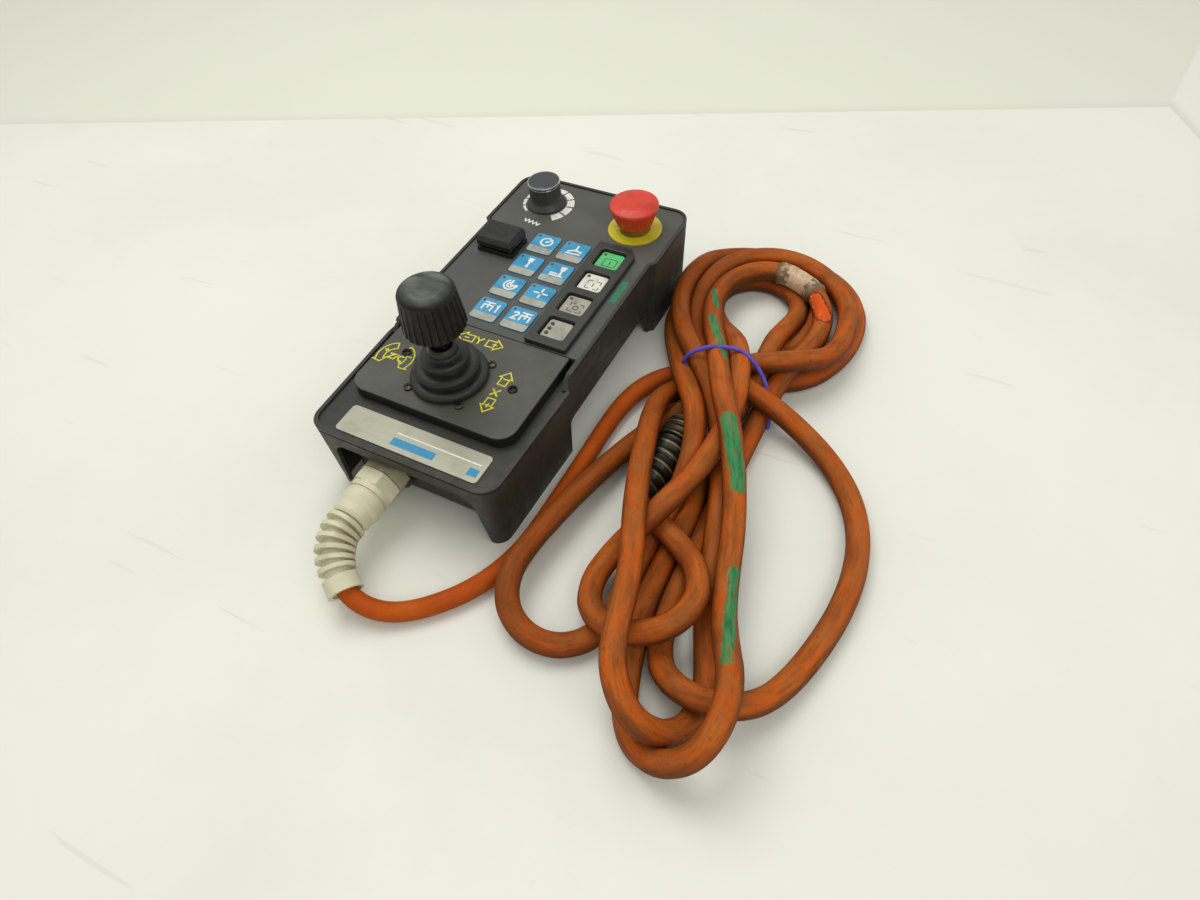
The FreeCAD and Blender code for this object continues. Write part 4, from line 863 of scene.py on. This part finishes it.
add_mesh("speed_print", speed_print, [white_ink])
add_mesh("film_patch", film_patch, [green_ink])
add_mesh("label_print", label_print, [blue_ink, white_ink])


def probe(x):
    """Outline of a tapered head."""
    return [(x - 2, 4.8), (x - 1.5, 0.8), (x + 1.5, 0.8), (x + 2, 4.8)]


def gantry(x):
    """Lines of a portal with a bar across it and a stem."""
    return [[(x - 3, -3.6), (x - 3, 1), (x + 3, 1), (x + 3, -3.6)], [(x - 3.6, 3.4), (x + 3.6, 3.4)],
            [(x, 3.4), (x, -1.6)]]


# Lines and filled shapes of each key's sign, about the middle of its blue field
KEY_SIGNS = [
    ([arc(0, 0, 3.9, 60, 390, 16), [(0, 0), (3.2, 3.4)]], [disc(0, 0, 1)]),
    ([[(0, -0.4), (0, 4.4)], [(0, -0.4), (-5, -2.6)], [(0, -0.4), (5, -1.6)], [(-5.6, -4.4), (4.6, -3.6)]],
     [disc(0, -0.4, 1)]),
    ([[(0, 1.6), (0, -2.4)]], [probe(0), disc(0, -3.6, 1.1)]),
    ([[(2, 1.6), (2, -2.2)], [(-5, -2.6), (0.2, -2.6)], [(-5, -4.4), (4.6, -4.4)]],
     [probe(2), disc(2, -2.6, 1.1)]),
    ([arc(0, -0.4, 4.2, 110, 380, 16), arc(0, -0.4, 2, 110, 380, 10), [(0, 4.4), (0, -0.4)],
      [(0, -0.4), (5.2, -0.4)]], []),
    ([[(-5, 0), (-1, 0)], [(1, 0), (5, 0)], [(0, 4.6), (0, 0.9)], [(0, -0.9), (0, -4.6)]], []),
    (gantry(-2.4) + [[(3.1, 1.4), (4.4, 2.6), (4.4, -3.6)]], []),
    (gantry(2.4) + [[(-6.1, 1.4), (-5.2, 2.5), (-3.6, 2.5), (-2.8, 1.2), (-6.1, -3.4), (-2.5, -3.4)]], [])]


def key_print(sign, key):
    """The sign, plain band and lamp window of a blue key."""
    x, y = middle_of(key)
    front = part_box(key)[0].y / MM
    band_wide, band_deep, inset, corner = 17.2, 5.6, 0.15, 1.8
    sign_x, sign_y, sign_line = x + 0.8, y + 2.4, 1.25
    window_x, window_y, window_reach = x - 6.6, y + 7, 0.95

    def moved(points):
        return [(sign_x + dx, sign_y + dy) for dx, dy in points]

    def build(work):
        band_y = front + inset + band_deep / 2
        prism(work, round_box(x, band_y, band_wide, band_deep, corner, (1, 0, 0, 1)), KEY_TOP, 1)
        lines, fills = sign
        layers = itertools.count()
        for points in lines:
            stroke(work, moved(points), sign_line, KEY_TOP, 0, tall=PRINT + LAYER * next(layers))
        for outline in fills:
            prism(work, moved(outline), KEY_TOP, 0, PRINT + LAYER * next(layers))
        prism(work, disc(window_x, window_y, window_reach), KEY_TOP, 2, WINDOW)
    return build


for i, sign in enumerate(KEY_SIGNS, 1):
    add_mesh(f"key_print_{i}", key_print(sign, f"key_{i}"), [white_ink, key_band, brown_ink],
             f"key_body_{i}")


def function_print(sign, key):
    """The framed sign and lamp window of a function key."""
    key_x, key_y = middle_of(key)
    x, y = key_x + 0.8, key_y - 1.4
    a, b, bend, gap_x, gap_y, frame_line = 4.3, 3.6, 1, 1.2, 1, 0.5
    ring, bar, sign_line = 1.7, 1.6, 0.6
    window_x, window_y, window_reach = key_x - 5.4, key_y + 5.4, 1.1

    def build(work):
        if sign == "solid":
            stroke(work, round_box(x, y, 2 * a, 2 * b, bend), frame_line, FUNCTION_TOP, closed=True)
        else:
            for dx, dy in itertools.product((-1, 1), (-1, 1)):
                corner = [(dx * a, dy * gap_y), (dx * a, dy * b), (dx * gap_x, dy * b)]
                stroke(work, [(x + u, y + v) for u, v in corner], frame_line, FUNCTION_TOP)
        if sign == "round":
            stroke(work, disc(x, y, ring), sign_line, FUNCTION_TOP, closed=True)
        else:
            stroke(work, [(x, y - bar), (x, y + bar)], sign_line, FUNCTION_TOP)
        prism(work, disc(window_x, window_y, window_reach), FUNCTION_TOP, 1, WINDOW)
    return build


for colour, sign in (("green", "solid"), ("white", "dashed"), ("grey", "round")):
    add_mesh(f"function_print_{colour}", function_print(sign, f"function_key_{colour}"),
             [black_ink, brown_ink], f"function_body_{colour}")


def cap_ring(work):
    """Pale bands round the speed knob's cap."""
    inside, edge = 10.3, 0.1
    for low, high, reach in ((73.45, 73.8, 10.8), (74.7, 75.7, 10.85)):
        profile = [(inside, low), (reach - edge, low), (reach, low + edge), (reach, high - edge),
                   (reach - edge, high), (inside, high)]
        lathe(profile, SPEED_AXIS, 72)(work)


add_mesh("speed_ring", cap_ring, [bright_metal], "speed")


# Screws with crossed slots
def cross_head(work, x, y, dia, tall, slot_long, slot_wide):
    """A low domed screw head on the joystick plate, whose top dips in a cross."""
    rings, spokes = 14, 48
    slot_deep, slot_turn, dome = 0.8, 0.6, 0.32
    levels = []
    for share in (k / rings for k in range(1, rings + 1)):
        r = dia / 2 * share
        height = PLATE_TOP + tall * (1 - dome * share ** 3)
        level = []
        for angle in (2 * math.pi * i / spokes for i in range(spokes)):
            near, far = sorted((abs(r * math.cos(angle)), abs(r * math.sin(angle))))
            dip = slot_deep if near < slot_wide / 2 and far < slot_long / 2 else 0
            turned = angle + slot_turn
            level.append(Vector((x + r * math.cos(turned), y + r * math.sin(turned), height - dip)) * MM)
        levels.append(level)
    foot = [Vector((place.x, place.y, PLATE_TOP * MM)) for place in levels[-1]]
    rings_mesh(work, levels + [foot])


def stick_screws(work):
    """Four heads at the corners of the bellows' flange."""
    away = 17.2
    for i, j in itertools.product((-1, 1), (-1, 1)):
        cross_head(work, STICK_AXIS[0] + i * away, STICK_AXIS[1] + j * away, dia=5.2, tall=1.6,
                   slot_long=3.4, slot_wide=0.9)


def side_screws(work):
    """One head on either side of the plate."""
    x, y = middle_of("joystick_plate")
    away = 36.4
    for i in (-1, 1):
        cross_head(work, x + i * away, y, dia=5.6, tall=1.2, slot_long=3.8, slot_wide=1)


add_mesh("stick_screw_heads", stick_screws, [worn_brass], replaces=("joystick_screws",))
add_mesh("side_screw_heads", side_screws, [dark_steel], replaces=("plate_screws",))


# Tie and tape on the cable
tie_fabric = moulded("tie_fabric", (92, 78, 186), (74, 62, 150), 0.62, grain=2200, depth=0.12, blotch=220)
TIE_RADIUS = 1.3
# The tie's loop round the strands, in millimetres
TIE_LOOP = [
    (103.4, 21.9, 32), (106.7, 22.8, 38.8), (116.2, 25.7, 45), (124, 28, 46.6), (134.7, 30.4, 46),
    (142.4, 30, 42.4), (149, 28.6, 36), (153.6, 26.6, 29.5), (157.6, 23, 22), (161, 17.6, 14), (162.4, 13, 8),
    (160.4, 18, 4.5), (156, 28, 4.6), (147.3, 35, 6.8), (141, 33, 7.2), (135.6, 31.5, 10.2),
    (133.2, 30.8, 15), (128.9, 29.5, 17.6), (122, 27.4, 17.6), (117, 25.9, 22.3),
    (111.9, 24.4, 24.2), (106.2, 22.7, 27)]


def tie(work):
    """Round cord about the upper strands of the cable's waist."""
    places = [Vector(place) * MM for place in rounded(TIE_LOOP + TIE_LOOP[:1], 5)[:-1]]
    rings = tube_rings(places + places[:2], TIE_RADIUS * MM, 12)[1:-1]
    rings_mesh(work, rings, closed_path=True)


tie_piece = add_mesh("tie", tie, [tie_fabric], smooth=True, replaces=("cord_tie",))

# Distances along the cable between which the tape lies, in millimetres
TAPE_SPAN = (2946, 2984)
tape_places = along(*TAPE_SPAN)
chance = random.Random(7)


def tape_surface():
    """Old tape: creased and yellowed, with grimy brown ends."""
    shade = Shade("tape_film")
    creases = shade.noise(170, 5, 0.6, distort=1.2)
    colour = shade.mix(shade.spread(creases, 0.36, 0.64), (214, 184, 152), (188, 152, 116))
    for end in (tape_places[0], tape_places[-1]):
        distance = shade.vector("LENGTH", shade.vector("SUBTRACT", shade.place, end), output="Value")
        ragged = shade.spread(shade.noise(240, 4), 0.3, 0.7, -3 * MM, 3 * MM)
        grimy = shade.spread(shade.math("ADD", distance, ragged), 12.5 * MM, 9.5 * MM)
        colour = shade.mix(grimy, colour, (112, 92, 58))
    shade.colour(colour)
    shade.sheen(creases, 0.3, 0.5)
    shade.bump(creases, 0.4)
    return shade.material


def tape(work):
    """Overlapping turns round the cable with ragged, lifted ends."""
    sides, turns, thick, overlap, tuck = 36, 1.6, 0.55, 0.35, 0.3
    flap_long, end_long, end_ragged = 0.08, 0.05, 0.03
    ragged = [chance.uniform(-1, 1) for _ in range(sides)]

    def flap(share, middle, lift):
        return lift * max(0.0, 1 - abs(share - middle) / flap_long)

    def reach(share, angle):
        way_round = angle / (2 * math.pi)
        tooth = end_long + end_ragged * ragged[int(way_round * sides + 0.5) % sides]
        if share < tooth or share > 1 - tooth:
            return (CABLE_DIA / 2 - tuck) * MM
        lifted = (flap(share, 0.1, 1.6) + flap(share, 0.9, 1.2)) * (0.5 + 0.5 * math.sin(2 * angle))
        doubled = overlap if (share * turns + way_round) % 1 < 0.5 else 0.0
        return (CABLE_DIA / 2 + thick + doubled + lifted) * MM

    rings_mesh(work, tube_rings(tape_places, reach, sides))


tape_piece = add_mesh("tape_wrap", tape, [tape_surface()], smooth=True)


# Stage: one table top, which takes the wall's tone beyond the wall's foot, so no view is shut off from behind
WALL_CORNER = Vector((342, 488, 0)) * MM
BACK_AWAY = Vector((-0.3804, 0.9248, 0))
SIDE_AWAY = Vector((0.8646, 0.5026, 0))
SEAM_AWAY = Vector((0.9923, -0.1237, 0))


def table_surface():
    """White laminate with faint marks, and the wall's tone beyond its foot: a darker back wall and a lighter
    side wall as painted shade and light, and painted shade along the foot.
    """
    shade = Shade("table_top", specular=0.3)
    base = shade.mix(shade.spread(shade.noise(3, 6, 0.6), 0.4, 0.7), (238, 238, 226), (232, 232, 219))
    marks = shade.spread(shade.noise(30, 8, 0.75, distort=2.2), 0.66, 0.74, 0, 0.12)
    base = shade.mix(marks, base, (196, 190, 168))
    lines = shade.spread(shade.noise(9, 2, 0.4, stretch=(1, 14, 1), distort=0.5), 0.71, 0.735, 0, 0.18)
    base = shade.mix(lines, base, (190, 184, 164))
    offset = shade.vector("SUBTRACT", shade.place, WALL_CORNER)
    back, side, seam = [shade.vector("DOT_PRODUCT", offset, away, "Value")
                        for away in (BACK_AWAY, SIDE_AWAY, SEAM_AWAY)]
    # Painted light and shade: the back wall is darker than the side wall across their seam.
    wall = shade.mix(shade.spread(seam, -1 * MM, 1 * MM), (229, 231, 214), (236, 238, 225))
    foot = shade.math("MAXIMUM", back, side)
    # Painted shade: a darker band along the wall's foot.
    wall = shade.mix(shade.spread(foot, 12 * MM, 0.0), wall, (222, 223, 206))
    shade.colour(shade.mix(shade.spread(foot, -0.5 * MM, 0.5 * MM), base, wall))
    shade.sheen(shade.noise(12, 4), 0.42, 0.56)
    shade.bump(shade.noise(260, 4), 0.05)
    return shade.material


TABLE = box(left=-2400, right=3200, front=-2600, back=2600)


def table(work):
    """One wide flat sheet under the object."""
    work.faces.new([work.verts.new(Vector((*corner, 0)) * MM) for corner in TABLE])


add_mesh("table", table, [table_surface()], None)

world = bpy.data.worlds.new("soft_room")
scene.world = world
world.use_nodes = True
background = world.node_tree.nodes["Background"]
background.inputs["Color"].default_value = (1, 0.995, 0.97, 1)
background.inputs["Strength"].default_value = 0.565


def lamp(name, place, aim, size, watts):
    """A round soft lamp at a place, aimed at another, in metres."""
    data = bpy.data.lights.new(name, "AREA")
    data.shape = "DISK"
    data.size = size
    data.energy = watts
    item = bpy.data.objects.new(name, data)
    item.location = place
    item.rotation_euler = (Vector(aim) - Vector(place)).to_track_quat("-Z", "Y").to_euler()
    scene.collection.objects.link(item)


lamp("key_lamp", (-0.35, 0.25, 1.3), (0.08, 0, 0), 1.0, 8.1)
lamp("fill_lamp", (0.9, -0.5, 1.2), (0.1, 0, 0), 0.9, 4.2)
